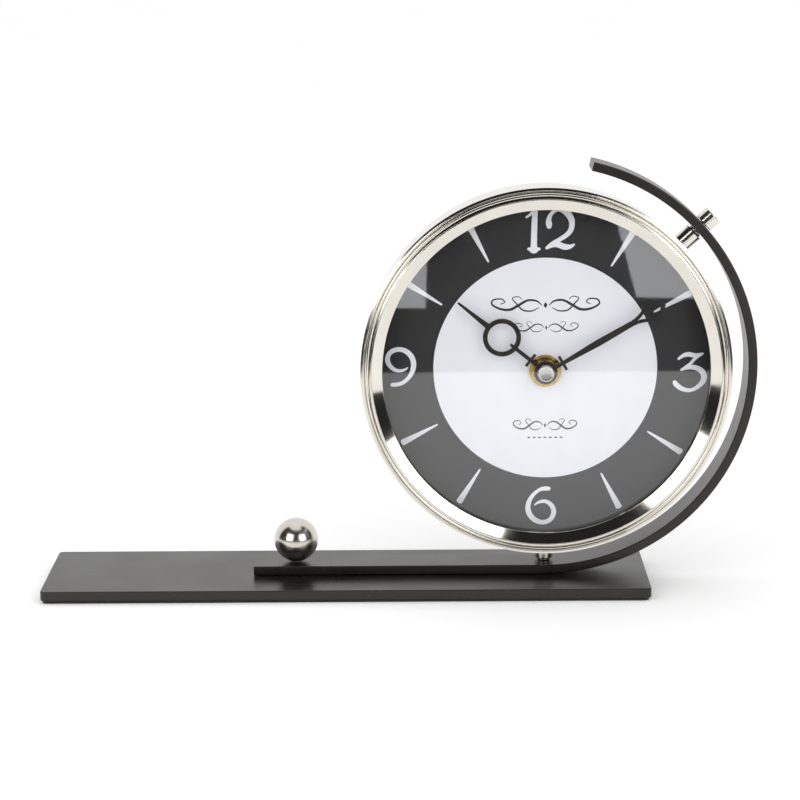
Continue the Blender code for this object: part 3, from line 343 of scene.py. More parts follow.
def curled_bar_tree(sizes):
    graph, size = geometry("curled_bar", sizes)
    index = graph.node("GeometryNodeInputIndex")
    line = graph.node("GeometryNodeCurvePrimitiveLine")
    count = size["Straight steps"] + size["Curl steps"] + 1
    points = graph.node("GeometryNodeResampleCurve", inputs={"Curve": line, "Count": count})
    along = graph.maths("MINIMUM", index / size["Straight steps"], 1.0)
    turned_by = graph.maths("MAXIMUM", (index - size["Straight steps"]) / size["Curl steps"], 0.0)
    angle = turned_by * size["Sweep"]
    x = size["Left"] + (size["Centre X"] - size["Left"]) * along
    x = x + graph.maths("SINE", angle) * size["Radius"]
    z = size["Centre Z"] - graph.maths("COSINE", angle) * size["Radius"]
    place = graph.vector(x, 0.0, z)
    path = graph.node("GeometryNodeSetPosition", inputs={"Geometry": points, "Position": place})
    section = graph.node("GeometryNodeCurvePrimitiveQuadrilateral",
                         inputs={"Width": size["Width"], "Height": size["Thickness"]})
    section = graph.node("GeometryNodeFilletCurve", {"mode": "POLY"}, {"Curve": section, "Count": 4,
                                                                       "Radius": size["Edge"]})
    bar = graph.node("GeometryNodeCurveToMesh", inputs={"Curve": path, "Profile Curve": section,
                                                        "Fill Caps": True})
    close(graph, bar, size["Material"])
    return graph


bar_sizes = {"Left": bar_low.x, "Centre X": clock_centre.x, "Centre Z": clock_centre.z,
             "Radius": curl_radius, "Sweep": curl_sweep, "Width": bar_width,
             "Thickness": bar_thickness, "Edge": bar_edge, "Straight steps": 12, "Curl steps": 168,
             "Material": lacquer}
bar_mesh = grow("curled_bar", curled_bar_tree(bar_sizes), bar_sizes)
bar = piece("curled_bar", bar_mesh, lacquer, 35.0, bar_end_edge, 60.0)
fit(bar, "clock", "black_steel", "arc_bar")

# --- Screws under the plate -----------------------------------------------------------------
# Two flat-headed steel screws hold the bar to the plate, and a third comes up through the bar
# into the ball. They are zinc plated, with the faint yellow and grey cast of the plating.


def zinc_plated():
    finish = Finish("zinc_plate")
    cast = finish.noise(420.0, 3.0)
    scratch = finish.noise(2600.0, 2.0)
    colour = finish.ramp(cast, (0.3, (0.42, 0.43, 0.45)), (0.7, (0.60, 0.59, 0.54)))
    return finish.surface(colour, finish.between(scratch, 0.3, 0.7, 0.26, 0.42), Metallic=1.0,
                          Normal=finish.bump(scratch, 0.00002, 0.5))


def dress(material, *nodes):
    """CAD nodes that keep their own mesh get this finish."""
    for node in nodes:
        for material_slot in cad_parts[node].material_slots:
            material_slot.material = material


zinc = zinc_plated()
dress(zinc, "bar_screw_left", "bar_screw_right", "ball_screw")

# --- Ball -----------------------------------------------------------------------------------
# A solid ball, turned from bar, nickel plated and buffed, with a small flat where it stands.
# Buffing leaves it bright but soft, with fine lines that run every way.
ball_sides = 96
ball_rings = 48


def spot(place, turn, radius, angle, along):
    return place + turn @ Vector((radius * math.cos(angle), radius * math.sin(angle), along))


def turned(name, profile, place, direction=(0, 1, 0), sides=96, closed=False):
    """A turned piece: points of (radius, distance along) swept about its axis."""
    turn = Vector(direction).to_track_quat("Z", "X").to_matrix()
    rings = []
    for radius, along in profile:
        count = 1 if radius == 0 else sides
        rings.append([spot(place, turn, radius, math.tau * k / sides, along) for k in range(count)])
    return skin(name, rings, closed)


def nickel(name, roughness, centre=None, tint=(0.76, 0.73, 0.66), lines=0.25):
    """Nickel plate. Round pieces that were polished on a lathe keep fine lines round their axis."""
    finish = Finish(name)
    smear = finish.noise(95.0, 4.0)
    if centre is None:
        fine = finish.noise(3800.0, 3.0)
    else:
        radius, x, z = finish.about(centre)
        y = finish.where.split()[1]
        rings = finish.vector(radius * 5200.0 + x * 0.9, y * 5200.0 + z * 0.9, 0.0)
        fine = finish.noise(1.0, 2.0, rings)
    dark = tuple(part * 0.93 for part in tint)
    colour = finish.ramp(smear, (0.3, dark), (0.7, tint))
    gloss = finish.between(smear, 0.3, 0.75, roughness * 0.8, roughness * 1.25) + fine * 0.02
    return finish.surface(colour, gloss, Metallic=1.0, Normal=finish.bump(fine, 0.000004, lines))


ball_low, ball_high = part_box("ball")
ball_radius = (ball_high.x - ball_low.x) / 2
ball_centre = Vector(((ball_low.x + ball_high.x) / 2, 0.0, ball_high.z - ball_radius))
ball_flat = math.acos(min(1.0, (ball_centre.z - ball_low.z) / ball_radius))
ball_profile = [(0.0, ball_low.z - ball_centre.z)]
for ring in range(ball_rings):
    angle = ball_flat + (math.pi - ball_flat) * ring / ball_rings
    if angle > 0.02:
        ball_profile.append((ball_radius * math.sin(angle), -ball_radius * math.cos(angle)))
ball_profile.append((0.0, ball_radius))
ball = piece("metal_ball", turned("metal_ball", ball_profile, ball_centre, (0, 0, 1), ball_sides),
             nickel("buffed_nickel", 0.20, tint=(0.70, 0.67, 0.60)))
fit(ball, "clock", "satin_nickel", "ball")

# --- Stand-offs and cap ---------------------------------------------------------------------
# Two short tubes turned from brass rod and nickel plated hold the drum off the bar.
# A stud goes through the upper one and the bar into a turned cap outside the curl.
standoff_radius = 4.7 * MM
neck_radius = 3.4 * MM
neck_length = 1.2 * MM
turned_edge = 0.45 * MM
upper_direction = Vector((math.cos(math.radians(42)), 0.0, math.sin(math.radians(42))))
upper_end = 99.5 * MM  # from the clock's centre to the stand-off's outer end
cap_radius = 5.0 * MM
cap_start = 104.6 * MM
cap_length = 6.4 * MM


def eased(points, edge, steps=4):
    """A profile whose corners are rounded by edge; its first and last points stay."""
    out = [points[0]]
    for before, corner, after in zip(points, points[1:], points[2:]):
        here = Vector(corner)
        back = Vector(before) - here
        on = Vector(after) - here
        cut = min(edge, back.length * 0.45, on.length * 0.45)
        first = here + back.normalized() * cut
        last = here + on.normalized() * cut
        for step in range(steps + 1):
            t = step / steps
            out.append(tuple(first * (1 - t) ** 2 + here * 2 * t * (1 - t) + last * t ** 2))
    out.append(points[-1])
    return out


def standoff(name, length, place, direction, material):
    """A short tube with a narrower neck on the side of the bar."""
    points = [(0.0, 0.0), (standoff_radius, 0.0), (standoff_radius, length - neck_length),
              (neck_radius, length - neck_length), (neck_radius, length), (0.0, length)]
    mesh = turned(name, eased(points, turned_edge), place, direction, 64)
    return piece(name, mesh, material)


lower_low, lower_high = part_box("lower_standoff")
rod_nickel = nickel("rod_nickel", 0.17, tint=(0.78, 0.76, 0.70), lines=0.4)
lower_place = Vector((clock_centre.x, 0.0, lower_high.z))
tube_length = lower_high.z - lower_low.z
fit(standoff("lower_tube", tube_length, lower_place, (0, 0, -1), rod_nickel),
    "clock", "polished_nickel", "lower_standoff")
upper_place = clock_centre + upper_direction * (upper_end - tube_length)
upper_place.y = 0.0
fit(standoff("upper_tube", tube_length, upper_place, upper_direction, rod_nickel),
    "clock", "polished_nickel", "upper_standoff")
cap_place = clock_centre + upper_direction * cap_start
cap_place.y = 0.0
cap_points = eased([(0.0, 0.0), (cap_radius, 0.0), (cap_radius, cap_length), (0.0, cap_length)],
                   turned_edge)
cap = piece("curl_cap", turned("curl_cap", cap_points, cap_place, upper_direction, 72), rod_nickel)
fit(cap, "clock", "polished_nickel", "upper_cap")
dress(zinc, "lower_standoff_screw", "upper_stud", "upper_nut")

# --- Drum -----------------------------------------------------------------------------------
# The case is spun from thin steel sheet, nickel plated and polished on the lathe.
# Its rear edge is rolled over into a flat lip that the back is screwed to.
case_sides = 240
drum_radius = (drum_high.x - drum_low.x) / 2
drum_wall = 1.0 * MM
drum_roll = 1.5 * MM
drum_lip = 13.5 * MM
clock_axis = Vector((clock_centre.x, 0.0, clock_centre.z))
lip_inner = drum_radius - drum_lip
wall_inner = drum_radius - drum_wall
lip_front = drum_high.y - drum_wall
case_nickel = nickel("case_nickel", 0.055, clock_centre, lines=0.15)
drum_profile = eased([(drum_radius, drum_low.y), (drum_radius, drum_high.y), (lip_inner, drum_high.y),
                      (lip_inner, lip_front), (wall_inner, lip_front), (wall_inner, drum_low.y)],
                     drum_roll, 6)
drum = piece("spun_drum", turned("spun_drum", drum_profile, clock_axis, sides=case_sides, closed=True),
             case_nickel)
fit(drum, "clock", "polished_nickel", "case_drum")

# --- Bezel ----------------------------------------------------------------------------------
# A broad ring, spun and turned from brass and nickel plated: a sloping band inside a crest,
# then a bead, a smaller bead and a rim with grooves between them. Its skirt holds the glass.
bezel_low, bezel_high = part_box("front_bezel")
flange_radius = (bezel_high.x - bezel_low.x) / 2
crest = bezel_low.y
opening_radius = 80.0 * MM
lip_back = crest + 3.4 * MM  # behind the lip, where the glass lies
rim_back = crest + 5.7 * MM  # behind the rim, in front of the drum
seat_radius = 83.0 * MM
crest_radius = 85.3 * MM
ledge_outer = 86.5 * MM
ledge = crest + 0.7 * MM  # a flat ledge outside the crest
rim_inner = 89.7 * MM
rim = crest + 2.9 * MM


def bead(inner, outer, height, base, steps=8):
    """A half-round bead between two radii; height is how far it stands in front of base."""
    points = []
    for step in range(steps + 1):
        turn = math.pi * step / steps
        radius = (inner + outer) / 2 - (outer - inner) / 2 * math.cos(turn)
        points.append((radius, base - height * math.sin(turn)))
    return points


bezel_front = eased([(opening_radius, lip_back), (opening_radius, crest + 2.3 * MM),
                     (crest_radius, crest), (crest_radius + 0.3 * MM, ledge), (ledge_outer, ledge)],
                    0.25 * MM, 6)
bezel_front += bead(86.6 * MM, 88.4 * MM, 0.9 * MM, crest + 1.3 * MM, 12)
bezel_front += [(88.5 * MM, crest + 2.1 * MM)]
bezel_front += bead(88.6 * MM, 89.6 * MM, 0.4 * MM, crest + 2.3 * MM)
bezel_front += [(rim_inner, rim), (flange_radius, rim)]
skirt_radius = drum_radius - 1.3 * MM
bezel_back = [(flange_radius, rim_back), (skirt_radius, rim_back), (skirt_radius, bezel_high.y),
              (seat_radius, bezel_high.y), (seat_radius, lip_back)]
bezel = piece("turned_bezel", turned("turned_bezel", bezel_front + bezel_back, clock_axis,
                                     sides=case_sides, closed=True), case_nickel)
fit(bezel, "clock", "polished_nickel", "front_bezel")

# --- Glass, gasket and inner ring -----------------------------------------------------------
# A flat disc of clear float glass with ground edges sits behind the bezel's lip, on a rubber
# gasket. A ring of black card stands between the glass and the dial, as the inner wall.
gasket_width = 2.1 * MM
card_ring_width = 1.5 * MM
glass_low, glass_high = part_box("glass")
glass_radius = (glass_high.x - glass_low.x) / 2
glass_reflectance = 0.05  # of one face, seen straight on


def clear_glass():
    """Clear glass as two faces that let light through and reflect a share of it."""
    finish = Finish("clear_glass")
    facing = finish.node("ShaderNodeLayerWeight", inputs={"Blend": 0.5}, output=1)
    smear = finish.noise(28.0, 3.0)
    share = glass_reflectance + facing ** 5.0 * 0.9 + smear * 0.004
    clear = finish.node("ShaderNodeBsdfTransparent", inputs={"Color": (0.993, 0.993, 0.997)})
    polish = {"Color": (1.0, 1.0, 1.0), "Roughness": 0.02}
    gloss = finish.node("ShaderNodeBsdfAnisotropic", inputs=polish)
    both = finish.node("ShaderNodeMixShader", inputs={0: share, 1: clear, 2: gloss})
    finish.node("ShaderNodeOutputMaterial", inputs={"Surface": both})
    return finish.material


glass_rim = glass_radius - 1.0 * MM
glass_points = eased([(0.0, glass_low.y), (glass_rim, glass_low.y), (glass_radius, glass_low.y),
                      (glass_radius, glass_high.y), (glass_rim, glass_high.y), (0.0, glass_high.y)],
                     0.3 * MM)
glass_mesh = turned("dial_glass", glass_points, clock_axis, sides=case_sides)
glass = piece("dial_glass", glass_mesh, clear_glass())
fit(glass, "clock", "clear_glass", "glass")


def round_ring(name, inner, outer, front, back, edge, axis, material, sides):
    """A flat ring about an axis along Y, with its four edges eased."""
    points = [(inner, back), (inner, front), (outer, front), (outer, back), (inner, back), (inner, front)]
    rounded = eased(points, edge)[1:-1]
    return piece(name, turned(name, rounded, axis, sides=sides, closed=True), material)


def ring_piece(name, node, width, edge, material, sides=case_sides):
    """A ring that fills the node's box, with this width of wall."""
    low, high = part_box(node)
    outer = (high.x - low.x) / 2
    middle = Vector(((low.x + high.x) / 2, 0.0, (low.z + high.z) / 2))
    return round_ring(name, outer - width, outer, low.y, high.y, edge, middle, material, sides)


def rubbery():
    finish = Finish("black_rubber")
    bloom = finish.noise(240.0, 4.0)
    colour = finish.ramp(bloom, (0.3, (0.010, 0.010, 0.010)), (0.75, (0.026, 0.026, 0.026)))
    return finish.surface(colour, finish.between(bloom, 0.3, 0.7, 0.62, 0.78),
                          Normal=finish.bump(finish.noise(3000.0), 0.00003, 0.5))


def printed_card(name, ink, light):
    """Coated card with flat ink on it: a faint mottle and a very fine tooth."""
    finish = Finish(name)
    mottle = finish.noise(130.0, 4.0)
    tooth = finish.noise(5200.0, 2.0)
    colour = finish.ramp(mottle, (0.3, ink), (0.7, light))
    return finish.surface(colour, finish.between(mottle, 0.3, 0.7, 0.5, 0.58),
                          Normal=finish.bump(tooth, 0.000004, 0.2))


rubber = rubbery()
black_card = printed_card("black_ink", (0.0125, 0.0122, 0.0125), (0.0155, 0.015, 0.0155))
seal = ring_piece("glass_seal", "glass_gasket", gasket_width, 0.3 * MM, rubber)
fit(seal, "clock", "rubber", "glass_gasket")
inner_wall = ring_piece("inner_wall", "dial_ring", card_ring_width, 0.15 * MM, black_card)
fit(inner_wall, "clock", "black_plastic", "dial_ring")

# --- Dial -----------------------------------------------------------------------------------
# A disc of coated card on a thin steel plate. The ground is printed black with a white centre,
# four numerals and eight tapered hour markers, and plain scrolls take the place of any words.
dial_low, dial_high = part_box("dial")
dial_radius = (dial_high.x - dial_low.x) / 2
shaft_low, shaft_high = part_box("minute_arbor")
shaft_axis = Vector(((shaft_low.x + shaft_high.x) / 2, 0.0, (shaft_low.z + shaft_high.z) / 2))
dial_hole = 4.2 * MM
white_radius = 55.0 * MM
ink_height = 0.03 * MM
dial_sides = 192


def circle(centre, radius, y, sides):
    """Points round a circle in a plane that faces along Y."""
    return [(centre.x + radius * math.cos(math.tau * k / sides), y,
             centre.z + radius * math.sin(math.tau * k / sides)) for k in range(sides)]


def holed_disc(name, outer, hole, front, back, material):
    """A thin disc about the clock's axis with a round hole about the shaft."""
    rings = [circle(shaft_axis, hole, back, dial_sides), circle(shaft_axis, hole, front, dial_sides),
             circle(clock_axis, outer, front, dial_sides), circle(clock_axis, outer, back, dial_sides)]
    return piece(name, skin(name, rings, closed=True), material)


white_card = printed_card("white_ink", (0.83, 0.84, 0.88), (0.87, 0.875, 0.905))
dial_card = holed_disc("dial_card", dial_radius, dial_hole, dial_low.y, dial_high.y, black_card)
fit(dial_card, "clock", "dial_print", "dial")
centre_front = dial_low.y - ink_height
centre_back = dial_low.y - 0.002 * MM
dial_centre = holed_disc("dial_centre", white_radius, dial_hole + 0.1 * MM, centre_front, centre_back,
                         white_card)
fit(dial_centre, "clock", "dial_print")


def smooth_line(points, steps=6):
    """A smooth line through points of (x, z, width)."""
    rows = [points[0], *points, points[-1]]
    out = []
    for a, b, c, d in zip(rows, rows[1:], rows[2:], rows[3:]):
        for step in range(steps):
            t = step / steps
            out.append([0.5 * (2 * q + (r - p) * t + (2 * p - 5 * q + 4 * r - s) * t * t
                               + (3 * q - p - 3 * r + s) * t ** 3) for p, q, r, s in zip(a, b, c, d)])
    out.append(list(points[-1]))
    return out


def outline(line):
    """The left and right edges of a line of points and widths."""
    left, right = [], []
    for k, (x, z, width) in enumerate(line):
        ahead = Vector(line[min(k + 1, len(line) - 1)][:2]) - Vector(line[max(k - 1, 0)][:2])
        ahead.normalize()
        side = Vector((-ahead.y, ahead.x)) * width / 2
        left.append(Vector((x, z)) + side)
        right.append(Vector((x, z)) - side)
    return left, right


def rounded_end(line, last):
    """Points round a stroke's first or last end, from one side of it to the other."""
    x, z, width = line[-1] if last else line[0]
    inner = line[-2] if last else line[1]
    out = (Vector((x, z)) - Vector(inner[:2])).normalized() * width / 2
    across = Vector((-out.y, out.x))
    turns = [math.radians(turn) for turn in (-60, -30, 0, 30, 60)]
    return [Vector((x, z)) + out * math.cos(turn) + across * math.sin(turn) for turn in turns]


def stroke(work, points, centre, front, back):
    """Adds one raised pen stroke of ink to a mesh, as a closed strip with rounded ends."""
    line = smooth_line(points)
    left, right = outline(line)

    def verts(row, y):
        return [work.verts.new((centre.x + p.x * MM, y, centre.z + p.y * MM)) for p in row]

    front_left, front_right, back_left, back_right = [verts(row, y) for y in (front, back)
                                                      for row in (left, right)]
    for k in range(len(line) - 1):
        work.faces.new((front_left[k], front_left[k + 1], front_right[k + 1], front_right[k]))
        work.faces.new((back_right[k], back_right[k + 1], back_left[k + 1], back_left[k]))
        work.faces.new((back_left[k], back_left[k + 1], front_left[k + 1], front_left[k]))
        work.faces.new((front_right[k], front_right[k + 1], back_right[k + 1], back_right[k]))
    for last in (False, True):
        k = -1 if last else 0
        row = rounded_end(line, last)
        front_cap, back_cap = verts(row, front), verts(row, back)
        first, end = (front_left[k], back_left[k]), (front_right[k], back_right[k])
        if (front_cap[0].co - first[0].co).length > (front_cap[-1].co - first[0].co).length:
            first, end = end, first
        front_edge = [first[0], *front_cap, end[0]]
        back_edge = [first[1], *back_cap, end[1]]
        work.faces.new(front_edge)
        work.faces.new(list(reversed(back_edge)))
        for j in range(len(front_edge) - 1):
            work.faces.new((front_edge[j], back_edge[j], back_edge[j + 1], front_edge[j + 1]))


def inked(name, groups, material, front, height=ink_height):
    """One mesh of strokes; groups hold a centre on the dial, in mm, and the strokes about it."""
    mesh = bpy.data.meshes.new(name)
    work = bmesh.new()
    layer = 0
    for (x, z), strokes in groups:
        centre = clock_axis + Vector((x * MM, 0.0, z * MM))
        for points in strokes:
            stroke(work, points, centre, front - height - layer * 0.0008 * MM, front)
            layer += 1
    bmesh.ops.recalc_face_normals(work, faces=work.faces)
    work.to_mesh(mesh)
    work.free()
    return piece(name, mesh, material)


# Pen strokes of each numeral, as points of (across, up, width of the pen) in mm.
one = [[(-7.1, 10.3, 2.4), (-7.5, 4.0, 2.8), (-7.7, -3.0, 2.9), (-7.8, -8.6, 3.2), (-7.8, -9.6, 5.0)],
       [(-10.3, -9.9, 1.5), (-7.8, -9.8, 1.7), (-5.3, -9.9, 1.5)],
       [(-7.0, 10.0, 1.8), (-9.2, 7.4, 1.4), (-11.5, 5.7, 1.0)]]
two = [[(-0.4, 1.2, 2.4), (-0.5, 2.4, 3.0), (-0.6, 4.2, 2.5), (0.3, 6.9, 1.9), (2.8, 9.1, 1.8),
        (4.9, 9.5, 2.4), (7.6, 8.3, 3.1), (9.9, 5.6, 3.1), (10.7, 2.6, 2.7), (10.1, -0.6, 2.5),
        (8.2, -3.0, 2.3), (4.6, -5.4, 2.1), (1.4, -7.3, 2.2), (-1.4, -9.3, 1.5)],
       [(-1.6, -9.5, 1.3), (1.6, -8.0, 2.1), (4.2, -7.9, 2.8), (7.2, -8.9, 2.9), (9.8, -8.8, 2.1),
        (11.7, -7.8, 1.0)]]
three = [[(-5.1, 6.6, 1.2), (-2.8, 8.2, 1.8), (-0.2, 8.8, 2.3), (3.0, 8.25, 2.1), (6.7, 9.1, 0.9)],
         [(6.6, 9.0, 0.9), (2.9, 6.6, 1.5), (0.9, 4.3, 1.5), (-1.4, 2.5, 1.5), (-3.6, 1.05, 1.2)],
         [(-3.4, 1.1, 1.0), (-0.6, 2.2, 1.9), (2.8, 2.2, 2.4), (5.8, 0.8, 2.7), (7.4, -1.7, 2.9),
          (7.1, -4.5, 2.7), (5.2, -6.9, 2.2), (2.3, -8.8, 1.8), (-0.5, -9.2, 2.0), (-3.5, -8.3, 2.3),
          (-6.0, -6.4, 2.5), (-6.8, -5.3, 2.3)]]
six = [[(3.9, 8.5, 2.0), (2.2, 8.6, 2.2), (-0.05, 8.2, 1.8), (-2.3, 6.8, 1.7), (-4.5, 4.4, 2.0),
        (-5.9, 1.6, 2.3), (-6.35, -1.4, 2.6), (-5.7, -4.1, 2.7), (-4.1, -6.4, 2.7), (-1.6, -8.1, 2.5),
        (1.2, -8.7, 2.3), (3.7, -8.0, 2.3), (5.6, -6.2, 2.3), (6.5, -3.4, 2.4), (5.9, -0.9, 2.3),
        (4.2, 1.1, 2.1), (2.0, 2.1, 1.8), (-0.35, 1.8, 1.5), (-1.9, 1.1, 1.1), (-2.9, 0.2, 0.6)]]
nine = [[(3.2, -0.6, 0.6), (1.8, -1.6, 1.2), (-0.9, -2.15, 1.6), (-3.6, -1.3, 1.9), (-5.7, 0.8, 2.2),
         (-6.6, 3.2, 2.4), (-6.1, 5.8, 2.3), (-4.1, 7.8, 2.3), (-1.1, 8.6, 2.3), (1.8, 8.0, 2.4),
         (4.2, 6.2, 2.6), (5.7, 3.8, 2.6), (6.2, 1.1, 2.6), (5.8, -1.7, 2.4), (4.6, -4.4, 2.1),
         (2.8, -6.6, 1.9), (0.4, -8.3, 1.9), (-2.1, -9.0, 2.0), (-4.3, -9.1, 1.9)]]
numerals = [((2.0, 69.2), one + two), ((70.6, -2.15), three), ((-1.95, -69.3), six),
            ((-70.9, 1.4), nine)]
fit(inked("dial_numerals", numerals, white_card, dial_low.y), "clock", "dial_print")


def marker_tree(sizes):
    """Eight tapered bars with rounded outer ends, on the hours that have no numeral."""
    graph, size = geometry("hour_markers", sizes)
    centre = graph.vector(size["Centre X"], size["Front"], size["Centre Z"])
    points = graph.node("GeometryNodePoints", inputs={"Count": 8, "Position": centre})
    index = graph.node("GeometryNodeInputIndex")
    hour = index + graph.maths("FLOOR", index / 2.0) + 1.0
    turn = graph.vector(0.0, hour * size["Hour angle"] + size["Turn"], 0.0)
    bar = graph.node("GeometryNodeMeshCube", inputs={"Vertices X": 5, "Vertices Z": 10})
    x, y, z = graph.node("GeometryNodeInputPosition").split()
    along = z + 0.5
    width = size["Inner width"] + (size["Outer width"] - size["Inner width"]) * along
    length = size["Outer radius"] - size["Inner radius"]
    rounding = x * x * 4.0 * size["Rounding"] * (along * 2.0 - 1.0)
    place = graph.vector(x * width, y * size["Height"], size["Inner radius"] + along * length - rounding)
    bar = graph.node("GeometryNodeSetPosition", inputs={"Geometry": bar, "Position": place})
    bars = graph.node("GeometryNodeInstanceOnPoints", inputs={"Points": points, "Instance": bar,
                                                              "Rotation": turn})
    close(graph, bars, size["Material"])
    return graph


marker_sizes = {"Centre X": clock_axis.x, "Centre Z": clock_axis.z, "Front": dial_low.y - ink_height / 2,
                "Hour angle": math.radians(30), "Turn": math.radians(2.3), "Inner radius": 59.7 * MM,
                "Outer radius": 80.2 * MM, "Inner width": 0.9 * MM, "Outer width": 3.2 * MM,
                "Rounding": 0.6 * MM, "Height": ink_height * 0.9, "Material": white_card}
fit(piece("dial_markers", grow("dial_markers", marker_tree(marker_sizes), marker_sizes), white_card),
    "clock", "dial_print")


def scroll(width, height, weight):
    """A plain scroll on both sides of a small diamond, as pen strokes; it has no letters in it."""
    curl = [(0.07, 0.0, 0.4), (0.16, 0.34, 0.8), (0.32, 0.40, 1.0), (0.48, 0.02, 1.2),
            (0.64, -0.36, 1.2), (0.82, -0.30, 1.0), (0.97, 0.08, 0.8), (0.94, 0.46, 0.7),
            (0.80, 0.52, 0.6), (0.74, 0.26, 0.5), (0.81, 0.10, 0.4)]
    tendril = [(0.12, -0.20, 0.3), (0.25, -0.48, 0.6), (0.41, -0.40, 0.7), (0.52, 0.10, 0.6),
               (0.60, 0.56, 0.5), (0.50, 0.72, 0.4), (0.43, 0.50, 0.3)]
    strokes = [[(side * x * width, z * height, w * weight) for x, z, w in line]
               for line in (curl, tendril) for side in (-1, 1)]
    strokes.append([(0.0, 0.24 * height, 0.1), (0.0, 0.0, 1.6 * weight), (0.0, -0.24 * height, 0.1)])
    return strokes


def dots(half, count, weight):
    """A row of small dashes."""
    places = [half * (2 * k / (count - 1) - 1) for k in range(count)]
    return [[(x - weight, 0.0, 0.1), (x, 0.0, weight), (x + weight, 0.0, 0.1)] for x in places]


dark_ink = printed_card("dark_ink", (0.012, 0.012, 0.014), (0.030, 0.029, 0.032))
scrolls = [((0.0, 31.6), scroll(27.0, 6.0, 1.1)), ((0.4, 20.4), scroll(16.0, 4.2, 0.6)),
           ((0.0, -28.6), scroll(16.0, 4.6, 0.7)), ((0.0, -34.7), dots(8.0, 7, 0.8))]
fit(inked("dial_scrolls", scrolls, dark_ink, centre_front, 0.02 * MM), "clock", "dial_print")

# --- Dial retainer --------------------------------------------------------------------------
# A plain ring of moulded black plastic behind the dial presses it against the bezel's skirt.
retainer_width = 2.2 * MM


def moulded(name, dark, light, roughness):
    """Moulded plastic: spark-eroded texture, faint flow marks and handling shine."""
    finish = Finish(name)
    flow = finish.noise(60.0, 4.0)
    texture = finish.noise(2800.0, 3.0)
    colour = finish.ramp(flow, (0.3, dark), (0.7, light))
    gloss = finish.between(flow, 0.3, 0.7, roughness - 0.06, roughness + 0.06)
    return finish.surface(colour, gloss, Normal=finish.bump(texture, 0.00004, 0.5))


black_plastic = moulded("black_plastic", (0.014, 0.014, 0.015), (0.024, 0.024, 0.025), 0.46)
retaining_ring = ring_piece("retaining_ring", "dial_retainer", retainer_width, 0.2 * MM, black_plastic)
fit(retaining_ring, "clock", "black_plastic", "dial_retainer")

# --- Movement case --------------------------------------------------------------------------
# Two moulded halves of black plastic clip together round the works; the rear half has the
# open bay for the battery. Their outer edges are eased a little by the mould.
movement_edge = 0.35 * MM


def cad_mesh(name, node):
    """A merged copy of a CAD node's mesh, with its flat faces made whole."""
    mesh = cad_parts[node].data.copy()
    mesh.name = name
    work = bmesh.new()
    work.from_mesh(mesh)
    bmesh.ops.remove_doubles(work, verts=work.verts, dist=0.001 * MM)
    bmesh.ops.dissolve_limit(work, angle_limit=math.radians(0.5), verts=work.verts, edges=work.edges)
    work.to_mesh(mesh)
    work.free()
    return mesh


for side in ("front", "rear"):
    shell_mesh = cad_mesh("works_shell_" + side, "movement_" + side)
    shell = piece("works_shell_" + side, shell_mesh, black_plastic, 35.0, movement_edge)
    fit(shell, "clock", "black_plastic", "movement_" + side)

# --- Neck, washers and nut ------------------------------------------------------------------
# The movement's threaded brass neck comes through the dial, with a rubber washer behind it
# and a bright brass washer and hexagon nut in front.
washer_hole = 4.3 * MM
nut_sides = 6
nut_steps = 96
nut_chamfer = 0.45 * MM


def brass_finish():
    finish = Finish("bright_brass")
    stain = finish.noise(300.0, 4.0)
    radius, x, z = finish.about(shaft_axis)
    lines = finish.noise(1.0, 2.0, finish.vector(radius * 6000.0 + x, z * 0.8, 0.0))
    colour = finish.ramp(stain, (0.3, (0.58, 0.38, 0.12)), (0.7, (0.80, 0.58, 0.24)))
    return finish.surface(colour, finish.between(lines, 0.3, 0.7, 0.16, 0.30), Metallic=1.0,
                          Normal=finish.bump(lines, 0.00001, 0.5))


brass = brass_finish()
dress(brass, "threaded_bush")
washer_low, washer_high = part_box("brass_washer")
washer_radius = (washer_high.x - washer_low.x) / 2
washer = round_ring("brass_face_washer", washer_hole, washer_radius, washer_low.y, washer_high.y,
                    0.15 * MM, shaft_axis, brass, 96)
fit(washer, "clock", "brass", "brass_washer")
soft_washer = ring_piece("rubber_face_washer", "rubber_washer", 6.6 * MM, 0.1 * MM, rubber, 96)
fit(soft_washer, "clock", "rubber", "rubber_washer")
nut_low, nut_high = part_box("brass_nut")
nut_corner = (nut_high.z - nut_low.z) / 2


def hexagon(corner, y, reach):
    """Points round a hexagon, cut to a circle of this radius at its corners."""
    points = []
    flat = corner * math.cos(math.pi / nut_sides)
    for k in range(nut_steps):
        angle = math.tau * k / nut_steps
        across = (angle - math.pi / 6 - math.pi / 2) % (math.pi / 3) - math.pi / 6
        radius = min(flat / math.cos(across), reach)
        points.append((shaft_axis.x + radius * math.cos(angle), y,
                       shaft_axis.z + radius * math.sin(angle)))
    return points


nut_rings = [circle(shaft_axis, washer_hole, nut_high.y, nut_steps),
             circle(shaft_axis, washer_hole, nut_low.y, nut_steps),
             hexagon(nut_corner, nut_low.y, nut_corner - 2.0 * nut_chamfer),
             hexagon(nut_corner, nut_low.y + nut_chamfer, nut_corner * 0.995),
             hexagon(nut_corner, nut_high.y, nut_corner * 0.995)]
hex_nut = piece("brass_hex_nut", skin("brass_hex_nut", nut_rings, closed=True), brass, 20.0)
fit(hex_nut, "clock", "brass", "brass_nut")

# --- Wheels ---------------------------------------------------------------------------------
# The going train: white nylon wheels on thin steel arbors, the rotor with its magnet, and the
# pipes that carry the two hands. They keep the shapes that they turn with.
nylon = moulded("white_nylon", (0.62, 0.61, 0.57), (0.72, 0.71, 0.68), 0.42)
magnet = moulded("rotor_magnet", (0.030, 0.029, 0.032), (0.060, 0.058, 0.060), 0.36)
dress(nylon, "hour_wheel", "motion_wheel", "third_wheel")
dress(brass, "minute_arbor")
dress(magnet, "rotor")

